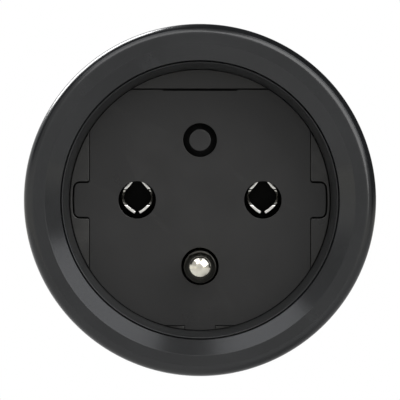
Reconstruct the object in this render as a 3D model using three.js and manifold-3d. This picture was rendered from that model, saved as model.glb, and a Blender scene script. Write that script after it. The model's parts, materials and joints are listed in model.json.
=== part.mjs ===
// Smart plug: a round type E socket in front, a combined type E and F plug behind, and the
// switching and radio parts between them. Millimetres. The origin is the middle of the plug's
// rear face, +Y goes into the wall, -Y faces the room, +Z is up and +X is right from the front.

import * as THREE from 'three';
import { mergeVertices } from 'three/addons/utils/BufferGeometryUtils.js';
import manifoldModule from 'manifold-3d';

const wasm = await manifoldModule();
wasm.setup();

// Facets round the big rings, the pin-sized rounds and the screw-sized rounds.
const LARGE_ROUND = 48;
const PIN_ROUND = 20;
const SMALL_ROUND = 12;

// Depths are measured back from the plane of the front ring.
const SHOULDER_DEPTH = 36;
const NOSE_FACE_DEPTH = 53;
const BODY_RADIUS = 26.2;
const SEAM_DEPTH = 33.6;
const SEAM_GAP = 0.3;
const TOUCH_GAP = 0.05;

// The front ring and the outer shell.
const RING_OUTER_FLAT_RADIUS = 24.66;
const RING_INNER_FLAT_RADIUS = 23.1;
const RING_INNER_EDGE_RADIUS = 20.78;
const RING_BEVEL_DEPTH = 1.35;
const RING_UNDERSIDE_DEPTH = 2.6;
const EDGE_ROUNDING = 1.54;
const EDGE_ROUNDING_STEPS = 5;
const SHELL_BORE_RADIUS = 24;

// The drafted wall of the recess.
const RECESS_DEPTH = 17;
const RECESS_LIP_RADIUS = 20.55;
const RECESS_LIP_DEPTH = 2.4;
const RECESS_FOOT_RADIUS = 19.75;
const LINER_END_DEPTH = 19.3;
const LINER_BACK_RADIUS = 21.2;
const LINER_FRONT_RADIUS = 22;
const LINER_FLANGE_RADIUS = 23.8;
const LINER_FLANGE_FRONT = 2.9;
const LINER_FLANGE_BACK = 4.3;

// The keyed plate on the recess floor.
const FACE_RADIUS = 19.6;
const FACE_HALF_WIDTH = 16.68;
const FACE_TOP = 16.68;
const FACE_BOTTOM = -18.96;
const FACE_BACK_DEPTH = 18.85;
const FACE_SIDE_GAP = 0.06;
const FACE_TOP_GAP = 0.16;
const FACE_BOTTOM_GAP = 0.1;
const TAB_HALF_HEIGHT = 2.57;
const TAB_RADIUS = 19.05;
const TAB_GAP = 0.27;
const BOTTOM_KEY_HALF_WIDTH = 2.3;
const TOP_SLOT_HALF_WIDTH = 5.65;
const TOP_SLOT_HEIGHT = 0.14;

// Pins, holes and the button.
const PIN_OFFSET = 9.5;
const PIN_RADIUS = 2.4;
const PIN_LENGTH = 19;
const CONTACT_HOLE_RADIUS = 2.82;
const EARTH_DROP = -10;
const EARTH_PIN_RADIUS = 2.4;
const EARTH_HOLE_RADIUS = 2.81;
const EARTH_TIP_DEPTH = 3;
const BUTTON_HEIGHT = 9.05;
const BUTTON_RADIUS = 1.7;
const BUTTON_HOLE_RADIUS = 2.55;
const BUTTON_FRONT_DEPTH = 17.05;
const BUTTON_FLANGE_RADIUS = 3;
const BUTTON_FLANGE_FRONT = 19.15;
const BUTTON_FLANGE_BACK = 20;
const BUTTON_STEM_END = 20.75;

// The contact carrier behind the recess floor.
const CARRIER_POCKET_DEPTH = 19;
const CARRIER_FLANGE_RADIUS = 22.9;
const CARRIER_FLANGE_FRONT = LINER_END_DEPTH + TOUCH_GAP;
const CARRIER_FLANGE_BACK = 21.4;
const CARRIER_BLOCK_BACK = 29.3;
const CLIP_CAVITY_BACK = 28.8;
const CLIP_FRONT = 19.6;
const CLIP_BACK = 27.4;
const CLIP_THICKNESS = 0.42;
const CLIP_TAIL_HEIGHT = 3.7;

// Screw positions.
const HOUSING_SCREW_CIRCLE = 21.3;
const CARRIER_SCREW_CIRCLE = 21.7;
const BOSS_RADIUS = 2.5;
const BOSS_FRONT_DEPTH = 21.8;
const BOSS_BACK_DEPTH = 33.3;

// The rear shell and its nose.
const NOSE_RADIUS = 18.7;
const NOSE_CAVITY_RADIUS = 16.9;
const NOSE_END_WALL = 2.2;
const SKIRT_INNER_RADIUS = 22.3;
const SKIRT_OUTER_RADIUS = 23.8;
const SKIRT_FRONT_DEPTH = CARRIER_FLANGE_BACK + TOUCH_GAP;
const SHOULDER_WALL = 1.4;
const GUIDE_SLOT_HALF_WIDTH = 2.8;
const GUIDE_SLOT_DEPTH = 1.9;
const EARTH_GROOVE_HALF_WIDTH = 4.2;
const EARTH_GROOVE_DEPTH = 1;
const GROOVE_FRONT_DEPTH = 37.5;
const YOKE_FRONT_DEPTH = 49.9;
const YOKE_BACK_DEPTH = 50.7;

// The main circuit board.
const BOARD_RADIUS = 21.9;
const BOARD_FRONT = 31.9;
const BOARD_BACK = 33.5;

// The relay, in its own frame: y = 0 is the face that sits on the main board.
const RELAY_HALF_WIDTH = 9.1;
const RELAY_HALF_HEIGHT = 4.9;
const RELAY_DEPTH = 14.3;
const RELAY_WALL = 0.7;
const COIL_X = -2;
const HINGE_X = -6.9;
const CONTACT_X = 5.6;

const JOIN_TOLERANCE = 1e-4;

// ---------------------------------------------------------------- closed solids

function signedVolume(positions, corners) {
  const a = new THREE.Vector3();
  const b = new THREE.Vector3();
  const c = new THREE.Vector3();
  let volume = 0;
  for (let i = 0; i < corners.length; i += 3) {
    a.fromArray(positions, corners[i] * 3);
    b.fromArray(positions, corners[i + 1] * 3);
    c.fromArray(positions, corners[i + 2] * 3);
    volume += a.dot(b.cross(c)) / 6;
  }
  return volume;
}

// A three.js geometry as a solid that can be joined and cut.
function solidOf(geometry) {
  const bare = new THREE.BufferGeometry();
  bare.setAttribute('position', geometry.getAttribute('position'));
  bare.setIndex(geometry.index);
  const joined = mergeVertices(bare, JOIN_TOLERANCE);
  const positions = joined.getAttribute('position').array;
  const index = joined.index.array;
  const corners = [];
  for (let i = 0; i < index.length; i += 3) {
    const [a, b, c] = [index[i], index[i + 1], index[i + 2]];
    if (a !== b && b !== c && c !== a) {
      corners.push(a, b, c);
    }
  }
  if (signedVolume(positions, corners) < 0) {
    corners.reverse();
  }
  return new wasm.Manifold(new wasm.Mesh({
    numProp: 3,
    vertProperties: new Float32Array(positions),
    triVerts: new Uint32Array(corners),
  }));
}

function geometryOf(solid) {
  const mesh = solid.getMesh();
  const geometry = new THREE.BufferGeometry();
  geometry.setAttribute('position', new THREE.BufferAttribute(mesh.vertProperties, 3));
  geometry.setIndex(new THREE.BufferAttribute(mesh.triVerts, 1));
  const faceted = geometry.toNonIndexed();
  faceted.computeVertexNormals();
  return faceted;
}

// A closed loop of [radius, depth] points turned round the Y axis.
function revolve(loop, segments = LARGE_ROUND) {
  const points = [...loop, loop[0]].map(([radius, depth]) => new THREE.Vector2(radius, depth));
  return solidOf(new THREE.LatheGeometry(points, segments));
}

function rod(radius, from, to, segments = PIN_ROUND) {
  const geometry = new THREE.CylinderGeometry(radius, radius, to - from, segments);
  geometry.translate(0, (from + to) / 2, 0);
  return solidOf(geometry);
}

function block(left, right, from, to, bottom, top) {
  const geometry = new THREE.BoxGeometry(right - left, to - from, top - bottom);
  geometry.translate((left + right) / 2, (from + to) / 2, (bottom + top) / 2);
  return solidOf(geometry);
}

// A flat outline of [x, z] points given a thickness along the depth.
function prism(outline, from, to) {
  const shape = new THREE.Shape(outline.map(([x, z]) => new THREE.Vector2(x, z)));
  const geometry = new THREE.ExtrudeGeometry(shape, { depth: to - from, bevelEnabled: false });
  geometry.rotateX(Math.PI / 2);
  geometry.translate(0, to, 0);
  return solidOf(geometry);
}

// The outline of a bent strip of sheet metal that follows a centre line.
function stripOutline(line, thickness) {
  const points = line.map(([x, z]) => new THREE.Vector2(x, z));
  const left = [];
  const right = [];
  points.forEach((point, i) => {
    const before = points[Math.max(i - 1, 0)];
    const after = points[Math.min(i + 1, points.length - 1)];
    const along = after.clone().sub(before).normalize();
    const own = (i > 0 ? point.clone().sub(before) : along.clone()).normalize();
    const reach = thickness / 2 / Math.max(own.dot(along), 0.5);
    left.push([point.x - along.y * reach, point.y + along.x * reach]);
    right.unshift([point.x + along.y * reach, point.y - along.x * reach]);
  });
  return [...left, ...right];
}

function roundedBox(halfWidth, from, to, bottom, top, corner) {
  const outline = [
    [-halfWidth, bottom + corner], [-halfWidth, top - corner],
    [-halfWidth + corner, top], [halfWidth - corner, top],
    [halfWidth, top - corner], [halfWidth, bottom + corner],
    [halfWidth - corner, bottom], [-halfWidth + corner, bottom],
  ];
  return prism(outline, from, to);
}

function joinAll(first, ...others) {
  return others.reduce((solid, other) => solid.add(other), first);
}

function cutAll(first, ...others) {
  return others.reduce((solid, other) => solid.subtract(other), first);
}

// The same solid at several angles round the Y axis.
function around(solid, radius, angles) {
  return angles.map((angle) => {
    const turn = THREE.MathUtils.degToRad(angle);
    return solid.translate([radius * Math.cos(turn), 0, radius * Math.sin(turn)]);
  });
}

const CORNER_ANGLES = [45, 135, 225, 315];
const AXIS_ANGLES = [0, 90, 180, 270];

// ---------------------------------------------------------------- materials and nodes

const COLOURS = {
  black_plastic: [0x1d1d1e, 0.42, 0],
  face_plastic: [0x1b1b1c, 0.5, 0],
  carrier_plastic: [0x18181a, 0.55, 0],
  nickel_plate: [0xc9c7c0, 0.22, 1],
  tinned_brass: [0xbfb9aa, 0.3, 1],
  steel_zinc: [0x9a9ca0, 0.35, 1],
  soft_iron: [0x83858a, 0.4, 1],
  spring_steel: [0xa9abae, 0.3, 1],
  contact_silver: [0xd6d5d0, 0.25, 1],
  copper_wire: [0xb5652c, 0.3, 1],
  board_laminate: [0x14563a, 0.5, 0],
  relay_plastic: [0x20242b, 0.45, 0],
  nylon_natural: [0xd8d3c2, 0.5, 0],
  capacitor_sleeve: [0x1f2733, 0.4, 0],
  film_box: [0xc9b23a, 0.45, 0],
  varistor_coat: [0x2b5fa0, 0.5, 0],
  ceramic_body: [0xd9d2c0, 0.6, 0],
  ferrite_core: [0x2c2a29, 0.6, 0],
  chip_resin: [0x161617, 0.6, 0],
  led_resin: [0xe9e6d8, 0.3, 0],
};

function node(name, finish, solid) {
  const [color, roughness, metalness] = COLOURS[finish];
  const material = new THREE.MeshStandardMaterial({ color, roughness, metalness });
  material.name = finish;
  const mesh = new THREE.Mesh(geometryOf(solid), material);
  mesh.name = name;
  return mesh;
}

// ---------------------------------------------------------------- front housing

function frontShell() {
  const loop = [
    [RING_OUTER_FLAT_RADIUS, 0],
    [RING_INNER_FLAT_RADIUS, 0],
    [RING_INNER_EDGE_RADIUS, RING_BEVEL_DEPTH],
    [RING_INNER_EDGE_RADIUS, RING_UNDERSIDE_DEPTH],
    [SHELL_BORE_RADIUS, RING_UNDERSIDE_DEPTH],
    [SHELL_BORE_RADIUS, SEAM_DEPTH - SEAM_GAP],
    [BODY_RADIUS, SEAM_DEPTH - SEAM_GAP],
  ];
  for (let i = 0; i < EDGE_ROUNDING_STEPS; i += 1) {
    const turn = (Math.PI / 2) * (i / EDGE_ROUNDING_STEPS);
    loop.push([
      RING_OUTER_FLAT_RADIUS + EDGE_ROUNDING * Math.cos(turn),
      EDGE_ROUNDING - EDGE_ROUNDING * Math.sin(turn),
    ]);
  }
  const wall = revolve(loop);
  const boss = rod(BOSS_RADIUS, BOSS_FRONT_DEPTH, BOSS_BACK_DEPTH, SMALL_ROUND);
  const bosses = around(boss, HOUSING_SCREW_CIRCLE, CORNER_ANGLES);
  const ribReach = SHELL_BORE_RADIUS + 0.6;
  const ribs = CORNER_ANGLES.map((angle) => block(
    HOUSING_SCREW_CIRCLE, ribReach, BOSS_FRONT_DEPTH, BOSS_BACK_DEPTH, -1.6, 1.6,
  ).rotate([0, -angle, 0]));
  const pilot = rod(1.2, 25, BOSS_BACK_DEPTH + 1, SMALL_ROUND);
  const pilots = around(pilot, HOUSING_SCREW_CIRCLE, CORNER_ANGLES);
  return cutAll(joinAll(wall, ...bosses, ...ribs), ...pilots);
}

function recessLiner() {
  const tube = revolve([
    [RECESS_LIP_RADIUS - 1, RECESS_LIP_DEPTH],
    [RECESS_LIP_RADIUS, RECESS_LIP_DEPTH],
    [RECESS_LIP_RADIUS + 0.2, LINER_FLANGE_FRONT],
    [LINER_FLANGE_RADIUS, LINER_FLANGE_FRONT],
    [LINER_FLANGE_RADIUS, LINER_FLANGE_BACK],
    [LINER_FRONT_RADIUS, LINER_FLANGE_BACK],
    [LINER_BACK_RADIUS, LINER_END_DEPTH],
    [RECESS_FOOT_RADIUS - 1, LINER_END_DEPTH],
  ]);
  const boss = rod(1.8, 10, LINER_END_DEPTH, SMALL_ROUND);
  const bosses = around(boss, CARRIER_SCREW_CIRCLE, AXIS_ANGLES);
  const draft = (RECESS_LIP_RADIUS - RECESS_FOOT_RADIUS) / (RECESS_DEPTH - RECESS_LIP_DEPTH);
  const bore = revolve([
    [0, RECESS_LIP_DEPTH - 1],
    [RECESS_LIP_RADIUS + draft, RECESS_LIP_DEPTH - 1],
    [RECESS_FOOT_RADIUS, RECESS_DEPTH],
    [RECESS_FOOT_RADIUS, LINER_END_DEPTH + 1],
    [0, LINER_END_DEPTH + 1],
  ]);
  const pilots = around(rod(0.85, 12, LINER_END_DEPTH + 1, SMALL_ROUND), CARRIER_SCREW_CIRCLE, AXIS_ANGLES);
  return cutAll(joinAll(tube, ...bosses), bore, ...pilots);
}

// The keyed outline of the face plate. The gaps are zero for the plate and real for its pocket.
function keyedSolid(from, to, sideGap, topGap, bottomGap, tabGap) {
  const disc = rod(FACE_RADIUS + sideGap, from, to, LARGE_ROUND);
  const flats = block(
    -FACE_HALF_WIDTH - sideGap, FACE_HALF_WIDTH + sideGap, from, to,
    FACE_BOTTOM - bottomGap, FACE_TOP + topGap,
  );
  const tabReach = FACE_RADIUS + 1;
  const tabHeight = TAB_HALF_HEIGHT + tabGap;
  const tabs = rod(TAB_RADIUS + tabGap, from, to, LARGE_ROUND).intersect(
    block(-tabReach, tabReach, from, to, -tabHeight, tabHeight),
  );
  const keyWidth = BOTTOM_KEY_HALF_WIDTH + bottomGap;
  const key = disc.intersect(block(-keyWidth, keyWidth, from, to, -tabReach, 0));
  return joinAll(disc.intersect(flats), tabs, key);
}

function socketFace() {
  const plate = keyedSolid(RECESS_DEPTH, FACE_BACK_DEPTH, 0, 0, 0, 0);
  const before = RECESS_DEPTH - 1;
  const after = FACE_BACK_DEPTH + 1;
  const contactHole = rod(CONTACT_HOLE_RADIUS, before, after);
  return cutAll(
    plate,
    contactHole.translate([-PIN_OFFSET, 0, 0]),
    contactHole.translate([PIN_OFFSET, 0, 0]),
    rod(EARTH_HOLE_RADIUS, before, after).translate([0, 0, EARTH_DROP]),
    rod(BUTTON_HOLE_RADIUS, before, after).translate([0, 0, BUTTON_HEIGHT]),
    block(-TOP_SLOT_HALF_WIDTH, TOP_SLOT_HALF_WIDTH, before, after, FACE_TOP - TOP_SLOT_HEIGHT, FACE_TOP + 1),
  );
}

function contactCarrier() {
  const disc = rod(FACE_RADIUS, RECESS_DEPTH, CARRIER_FLANGE_FRONT + 0.2, LARGE_ROUND);
  const flange = rod(CARRIER_FLANGE_RADIUS, CARRIER_FLANGE_FRONT, CARRIER_FLANGE_BACK, LARGE_ROUND);
  const ear = rod(1.9, CARRIER_FLANGE_FRONT, CARRIER_FLANGE_BACK, SMALL_ROUND);
  const ears = around(ear, CARRIER_SCREW_CIRCLE, AXIS_ANGLES);
  const housing = prism(
    [[-15, -6], [-15, 5.3], [15, 5.3], [15, -6], [9, -14], [-9, -14]],
    CARRIER_FLANGE_BACK - 0.2, CARRIER_BLOCK_BACK,
  );
  const pocket = keyedSolid(
    RECESS_DEPTH - 1, CARRIER_POCKET_DEPTH,
    FACE_SIDE_GAP, FACE_TOP_GAP, FACE_BOTTOM_GAP, TAB_GAP,
  );
  const cavity = block(-3.1, 3.1, CARRIER_POCKET_DEPTH - 0.5, CLIP_CAVITY_BACK, -2.6, 4.6);
  const tailSlot = block(-0.9, 0.9, CLIP_CAVITY_BACK - 0.2, CARRIER_BLOCK_BACK + 1, 3.2, 4.2);
  const clipSpace = cavity.add(tailSlot);
  const screwHole = rod(0.95, CARRIER_FLANGE_FRONT - 1, CARRIER_FLANGE_BACK + 1, SMALL_ROUND);
  return cutAll(
    joinAll(disc, flange, ...ears, housing),
    pocket,
    clipSpace.translate([-PIN_OFFSET, 0, 0]),
    clipSpace.translate([PIN_OFFSET, 0, 0]),
    rod(EARTH_PIN_RADIUS + 0.1, RECESS_DEPTH, CARRIER_BLOCK_BACK + 1).translate([0, 0, EARTH_DROP]),
    rod(3.3, RECESS_DEPTH, CARRIER_FLANGE_BACK + 1).translate([0, 0, BUTTON_HEIGHT]),
    ...around(screwHole, CARRIER_SCREW_CIRCLE, AXIS_ANGLES),
  );
}

// ---------------------------------------------------------------- button and its switch

function buttonCap() {
  return revolve([
    [0, BUTTON_FRONT_DEPTH],
    [BUTTON_RADIUS - 0.15, BUTTON_FRONT_DEPTH],
    [BUTTON_RADIUS, BUTTON_FRONT_DEPTH + 0.15],
    [BUTTON_RADIUS, BUTTON_FLANGE_FRONT],
    [BUTTON_FLANGE_RADIUS, BUTTON_FLANGE_FRONT],
    [BUTTON_FLANGE_RADIUS, BUTTON_FLANGE_BACK],
    [1, BUTTON_FLANGE_BACK],
    [1, BUTTON_STEM_END],
    [0, BUTTON_STEM_END],
  ], PIN_ROUND);
}

class CoilCurve extends THREE.Curve {
  constructor(radius, from, to, turns) {
    super();
    Object.assign(this, { radius, from, to, turns });
  }

  getPoint(t, target = new THREE.Vector3()) {
    const turn = t * this.turns * 2 * Math.PI;
    const depth = this.from + (this.to - this.from) * t;
    return target.set(this.radius * Math.cos(turn), depth, this.radius * Math.sin(turn));
  }
}

// A coil of round wire with a flat cap on each cut end.
function coilSpring(radius, wireRadius, from, to, turns) {
  const sides = 6;
  const steps = turns * 14;
  const path = new CoilCurve(radius, from + wireRadius, to - wireRadius, turns);
  const tube = new THREE.TubeGeometry(path, steps, wireRadius, sides, false);
  const positions = Array.from(tube.getAttribute('position').array);
  const index = Array.from(tube.index.array);
  const ringSize = sides + 1;
  const lastRing = steps * ringSize;
  for (let i = 1; i < sides - 1; i += 1) {
    index.push(0, i, i + 1);
    index.push(lastRing, lastRing + i + 1, lastRing + i);
  }
  const capped = new THREE.BufferGeometry();
  capped.setAttribute('position', new THREE.Float32BufferAttribute(positions, 3));
  capped.setIndex(index);
  return solidOf(capped);
}

function switchBody() {
  const body = roundedBox(2.3, 21.6, 23.2, -2.3, 2.3, 0.4);
  return body.subtract(rod(0.95, 21, 22.5, SMALL_ROUND));
}

function buttonBoard() {
  return roundedBox(6, 23.25, 24.05, 5.7, 13.8, 0.8);
}

function boardHeader() {
  const strip = block(-4, 4, 24.1, 26.6, 12, 13.4);
  const pins = [-3, -1, 1, 3].map((x) => block(x - 0.3, x + 0.3, 26.4, BOARD_FRONT - TOUCH_GAP, 12.4, 13));
  return joinAll(strip, ...pins);
}

// ---------------------------------------------------------------- contacts and pins

function contactClip() {
  const leaf = [[0.37, -1.87], [1.35, -0.85], [2.2, 0.25], [2.24, 0.65], [1.5, 1.9], [0.86, 2.75], [0.75, 3.4], [0.45, CLIP_TAIL_HEIGHT]];
  const mirrored = leaf.map(([x, z]) => [-x, z]);
  const outline = stripOutline([...leaf, ...mirrored.reverse()], CLIP_THICKNESS);
  const tail = block(
    -0.5, 0.5, CLIP_BACK - 0.5, BOARD_BACK,
    CLIP_TAIL_HEIGHT - CLIP_THICKNESS / 2, CLIP_TAIL_HEIGHT + CLIP_THICKNESS / 2,
  );
  return prism(outline, CLIP_FRONT, CLIP_BACK).add(tail);
}

// Half of a rounded pin end: from the axis at the tip to the full radius.
function domeLoop(radius, tip, direction) {
  const steps = 5;
  const points = [];
  for (let i = 0; i <= steps; i += 1) {
    const turn = (Math.PI / 2) * (i / steps);
    points.push([radius * Math.sin(turn), tip + direction * radius * (1 - Math.cos(turn))]);
  }
  return points;
}

function earthPin() {
  return revolve([
    ...domeLoop(EARTH_PIN_RADIUS, EARTH_TIP_DEPTH, 1),
    [EARTH_PIN_RADIUS, CARRIER_BLOCK_BACK + 0.3],
    [4, CARRIER_BLOCK_BACK + 0.3],
    [4, 31],
    [1.75, 31],
    [1.75, 34.8],
    [0, 34.8],
  ], PIN_ROUND);
}

function earthSleeve() {
  return revolve([
    [0, 34.85],
    [3.4, 34.85],
    [3.4, YOKE_FRONT_DEPTH - TOUCH_GAP],
    [2.5, YOKE_FRONT_DEPTH - TOUCH_GAP],
    [2.5, 37],
    [0, 37],
  ], PIN_ROUND);
}

function earthYoke() {
  const bar = block(-4, 4, YOKE_FRONT_DEPTH, YOKE_BACK_DEPTH, -18.4, 18.4);
  const hole = rod(2.9, YOKE_FRONT_DEPTH - 1, YOKE_BACK_DEPTH + 1).translate([0, 0, EARTH_DROP]);
  const armLine = [[17.95, YOKE_BACK_DEPTH], [18.25, 48.6], [18.65, 44.5], [18.25, 40], [17.95, 38.2]];
  const outline = stripOutline(armLine.map(([z, depth]) => [depth, z]), 0.4);
  const armGeometry = new THREE.ExtrudeGeometry(
    new THREE.Shape(outline.map(([depth, z]) => new THREE.Vector2(depth, z))),
    { depth: 7.6, bevelEnabled: false },
  );
  armGeometry.applyMatrix4(new THREE.Matrix4().makeBasis(
    new THREE.Vector3(0, 1, 0), new THREE.Vector3(0, 0, 1), new THREE.Vector3(1, 0, 0),
  ));
  armGeometry.translate(-3.8, 0, 0);
  const upperArm = solidOf(armGeometry);
  const lowerArm = upperArm.mirror([0, 0, 1]);
  return bar.subtract(hole).add(upperArm).add(lowerArm);
}

function plugPin() {
  const dome = domeLoop(PIN_RADIUS, NOSE_FACE_DEPTH + PIN_LENGTH, -1);
  return revolve([
    ...dome,
    [PIN_RADIUS, YOKE_BACK_DEPTH - 0.1],
    [3.4, YOKE_BACK_DEPTH - 0.1],
    [3.4, 48.6],
    [2, 48.6],
    [2, 33.8],
    [1, 33.8],
    [1, 31.2],
    [0, 31.2],
  ], PIN_ROUND);
}

// ---------------------------------------------------------------- rear housing and board

function rearShell() {
  const endWall = NOSE_FACE_DEPTH - NOSE_END_WALL;
  const floor = SHOULDER_DEPTH - SHOULDER_WALL;
  const turned = revolve([
    [0, endWall],
    [NOSE_CAVITY_RADIUS, endWall],
    [NOSE_CAVITY_RADIUS, floor],
    [SKIRT_INNER_RADIUS, floor],
    [SKIRT_INNER_RADIUS, SKIRT_FRONT_DEPTH],
    [SKIRT_OUTER_RADIUS, SKIRT_FRONT_DEPTH],
    [SKIRT_OUTER_RADIUS, SEAM_DEPTH],
    [BODY_RADIUS, SEAM_DEPTH],
    [BODY_RADIUS, SHOULDER_DEPTH - 1],
    [BODY_RADIUS - 1, SHOULDER_DEPTH],
    [NOSE_RADIUS, SHOULDER_DEPTH],
    [NOSE_RADIUS, NOSE_FACE_DEPTH - 1],
    [NOSE_RADIUS - 1, NOSE_FACE_DEPTH],
    [0, NOSE_FACE_DEPTH],
  ]);
  const nose = rod(NOSE_RADIUS - 0.5, floor, endWall + 0.2, LARGE_ROUND);
  const thickWalls = [-1, 1].flatMap((side) => [
    block(side < 0 ? -18 : 15.2, side < 0 ? -15.2 : 18, floor, endWall + 0.2, -4.4, 4.4),
    block(-5.5, 5.5, floor, endWall + 0.2, side < 0 ? -18 : 16.2, side < 0 ? -16.2 : 18),
  ]).map((wall) => wall.intersect(nose));
  const screwPad = rod(3.1, SEAM_DEPTH, floor + 0.2, SMALL_ROUND);
  const boardPad = rod(1.3, BOARD_BACK + TOUCH_GAP, floor + 0.2, SMALL_ROUND);
  const solid = joinAll(
    turned, ...thickWalls,
    ...around(screwPad, HOUSING_SCREW_CIRCLE, CORNER_ANGLES),
    ...around(boardPad, 20, [22.5, 112.5, 202.5, 292.5]),
  );

  const guideFloor = NOSE_RADIUS - GUIDE_SLOT_DEPTH;
  const grooveFloor = NOSE_RADIUS - EARTH_GROOVE_DEPTH;
  const beyond = NOSE_FACE_DEPTH + 1;
  const outside = NOSE_RADIUS + 1;
  const guideSlot = block(
    guideFloor, outside, GROOVE_FRONT_DEPTH, beyond, -GUIDE_SLOT_HALF_WIDTH, GUIDE_SLOT_HALF_WIDTH,
  );
  const earthGroove = block(
    -EARTH_GROOVE_HALF_WIDTH, EARTH_GROOVE_HALF_WIDTH,
    GROOVE_FRONT_DEPTH, YOKE_BACK_DEPTH + 0.2, grooveFloor, outside,
  );
  const barSlot = block(-4.15, 4.15, YOKE_FRONT_DEPTH - 0.15, endWall, 15, outside);
  const pinHole = rod(PIN_RADIUS + 0.05, endWall - 1, beyond);
  const counterbore = rod(2.3, SHOULDER_DEPTH - 1.4, SHOULDER_DEPTH + 1, SMALL_ROUND);
  const screwHole = rod(1.25, SEAM_DEPTH - 1, SHOULDER_DEPTH, SMALL_ROUND);
  const bossNotch = rod(3.2, SKIRT_FRONT_DEPTH - 1, SEAM_DEPTH, SMALL_ROUND);
  const earNotch = rod(2.3, SKIRT_FRONT_DEPTH - 1, 23.8, SMALL_ROUND);
  return cutAll(
    solid,
    guideSlot, guideSlot.mirror([1, 0, 0]),
    earthGroove, earthGroove.mirror([0, 0, 1]),
    barSlot, barSlot.mirror([0, 0, 1]),
    pinHole.translate([-PIN_OFFSET, 0, 0]),
    pinHole.translate([PIN_OFFSET, 0, 0]),
    rod(EARTH_HOLE_RADIUS, endWall - 1, beyond).translate([0, 0, EARTH_DROP]),
    ...around(counterbore, HOUSING_SCREW_CIRCLE, CORNER_ANGLES),
    ...around(screwHole, HOUSING_SCREW_CIRCLE, CORNER_ANGLES),
    ...around(bossNotch, HOUSING_SCREW_CIRCLE, CORNER_ANGLES),
    ...around(earNotch, CARRIER_SCREW_CIRCLE, AXIS_ANGLES),
  );
}

function mainBoard() {
  const before = BOARD_FRONT - 1;
  const after = BOARD_BACK + 1;
  const notch = rod(3.3, before, after, SMALL_ROUND);
  const pinHole = rod(1.15, before, after, SMALL_ROUND);
  const tailHole = rod(0.8, before, after, SMALL_ROUND);
  return cutAll(
    rod(BOARD_RADIUS, BOARD_FRONT, BOARD_BACK, LARGE_ROUND),
    ...around(notch, HOUSING_SCREW_CIRCLE, CORNER_ANGLES),
    pinHole.translate([-PIN_OFFSET, 0, 0]),
    pinHole.translate([PIN_OFFSET, 0, 0]),
    tailHole.translate([-PIN_OFFSET, 0, CLIP_TAIL_HEIGHT]),
    tailHole.translate([PIN_OFFSET, 0, CLIP_TAIL_HEIGHT]),
    rod(1.9, before, after, SMALL_ROUND).translate([0, 0, EARTH_DROP]),
  );
}

// ---------------------------------------------------------------- screws

function screw(headRadius, headFront, headBack, shankRadius, tip) {
  const turned = revolve([
    [0, tip],
    [shankRadius * 0.5, tip],
    [shankRadius, tip + shankRadius],
    [shankRadius, headFront],
    [headRadius, headFront],
    [headRadius, headBack - 0.35],
    [headRadius * 0.75, headBack],
    [0, headBack],
  ], SMALL_ROUND);
  const arm = headRadius * 0.55;
  const half = headRadius * 0.13;
  const bottom = headBack - 0.7;
  return cutAll(
    turned,
    block(-arm, arm, bottom, headBack + 1, -half, half),
    block(-half, half, bottom, headBack + 1, -arm, arm),
  );
}

function placeScrews(group, prefix, makeScrew, radius, angles) {
  angles.forEach((angle, i) => {
    const mesh = node(`${prefix}_${i + 1}`, 'steel_zinc', makeScrew());
    const turn = THREE.MathUtils.degToRad(angle);
    mesh.position.set(radius * Math.cos(turn), 0, radius * Math.sin(turn));
    group.add(mesh);
  });
}

// ---------------------------------------------------------------- relay

function relayCover() {
  const outer = block(
    -RELAY_HALF_WIDTH, RELAY_HALF_WIDTH, 0.3, RELAY_DEPTH, -RELAY_HALF_HEIGHT, RELAY_HALF_HEIGHT,
  );
  const innerWidth = RELAY_HALF_WIDTH - RELAY_WALL;
  const innerHeight = RELAY_HALF_HEIGHT - RELAY_WALL;
  return outer.subtract(block(
    -innerWidth, innerWidth, -1, RELAY_DEPTH - RELAY_WALL, -innerHeight, innerHeight,
  ));
}

function relayBobbin() {
  return revolve([
    [1.5, 2.5], [3.9, 2.5], [3.9, 3.1], [2, 3.1],
    [2, 9.6], [3.9, 9.6], [3.9, 10.3], [1.5, 10.3],
  ], SMALL_ROUND).translate([COIL_X, 0, 0]);
}

function relayWinding() {
  return revolve([[2.05, 3.15], [3.5, 3.15], [3.5, 9.55], [2.05, 9.55]], SMALL_ROUND)
    .translate([COIL_X, 0, 0]);
}

function relayCore() {
  return revolve([
    [0, 1.65], [1.4, 1.65], [1.4, 10.4], [2.1, 10.4], [2.1, 11], [0, 11],
  ], SMALL_ROUND).translate([COIL_X, 0, 0]);
}

function relayFrame() {
  const upright = block(-7.4, -6.4, 1.65, 11.2, -3.2, 3.2);
  const foot = block(-6.6, 0.6, 1.65, 2.45, -3.2, 3.2);
  const hole = rod(1.5, 1, 3, SMALL_ROUND).translate([COIL_X, 0, 0]);
  return upright.add(foot).subtract(hole);
}

function relayMovingContact() {
  const leaf = block(-5, 6.8, 12.35, 12.55, -1.4, 1.4);
  const button = rod(1.1, 11.6, 12.4, SMALL_ROUND).translate([CONTACT_X, 0, 0]);
  return leaf.add(button);
}

function relayFixedContact() {
  const post = block(5.2, 6, 1.65, 10, -1.2, 1.2);
  const shelf = block(4.5, 6.7, 9.9, 10.2, -1.2, 1.2);
  const button = rod(1.1, 10.1, 10.8, SMALL_ROUND).translate([CONTACT_X, 0, 0]);
  return joinAll(post, shelf, button);
}

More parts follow.
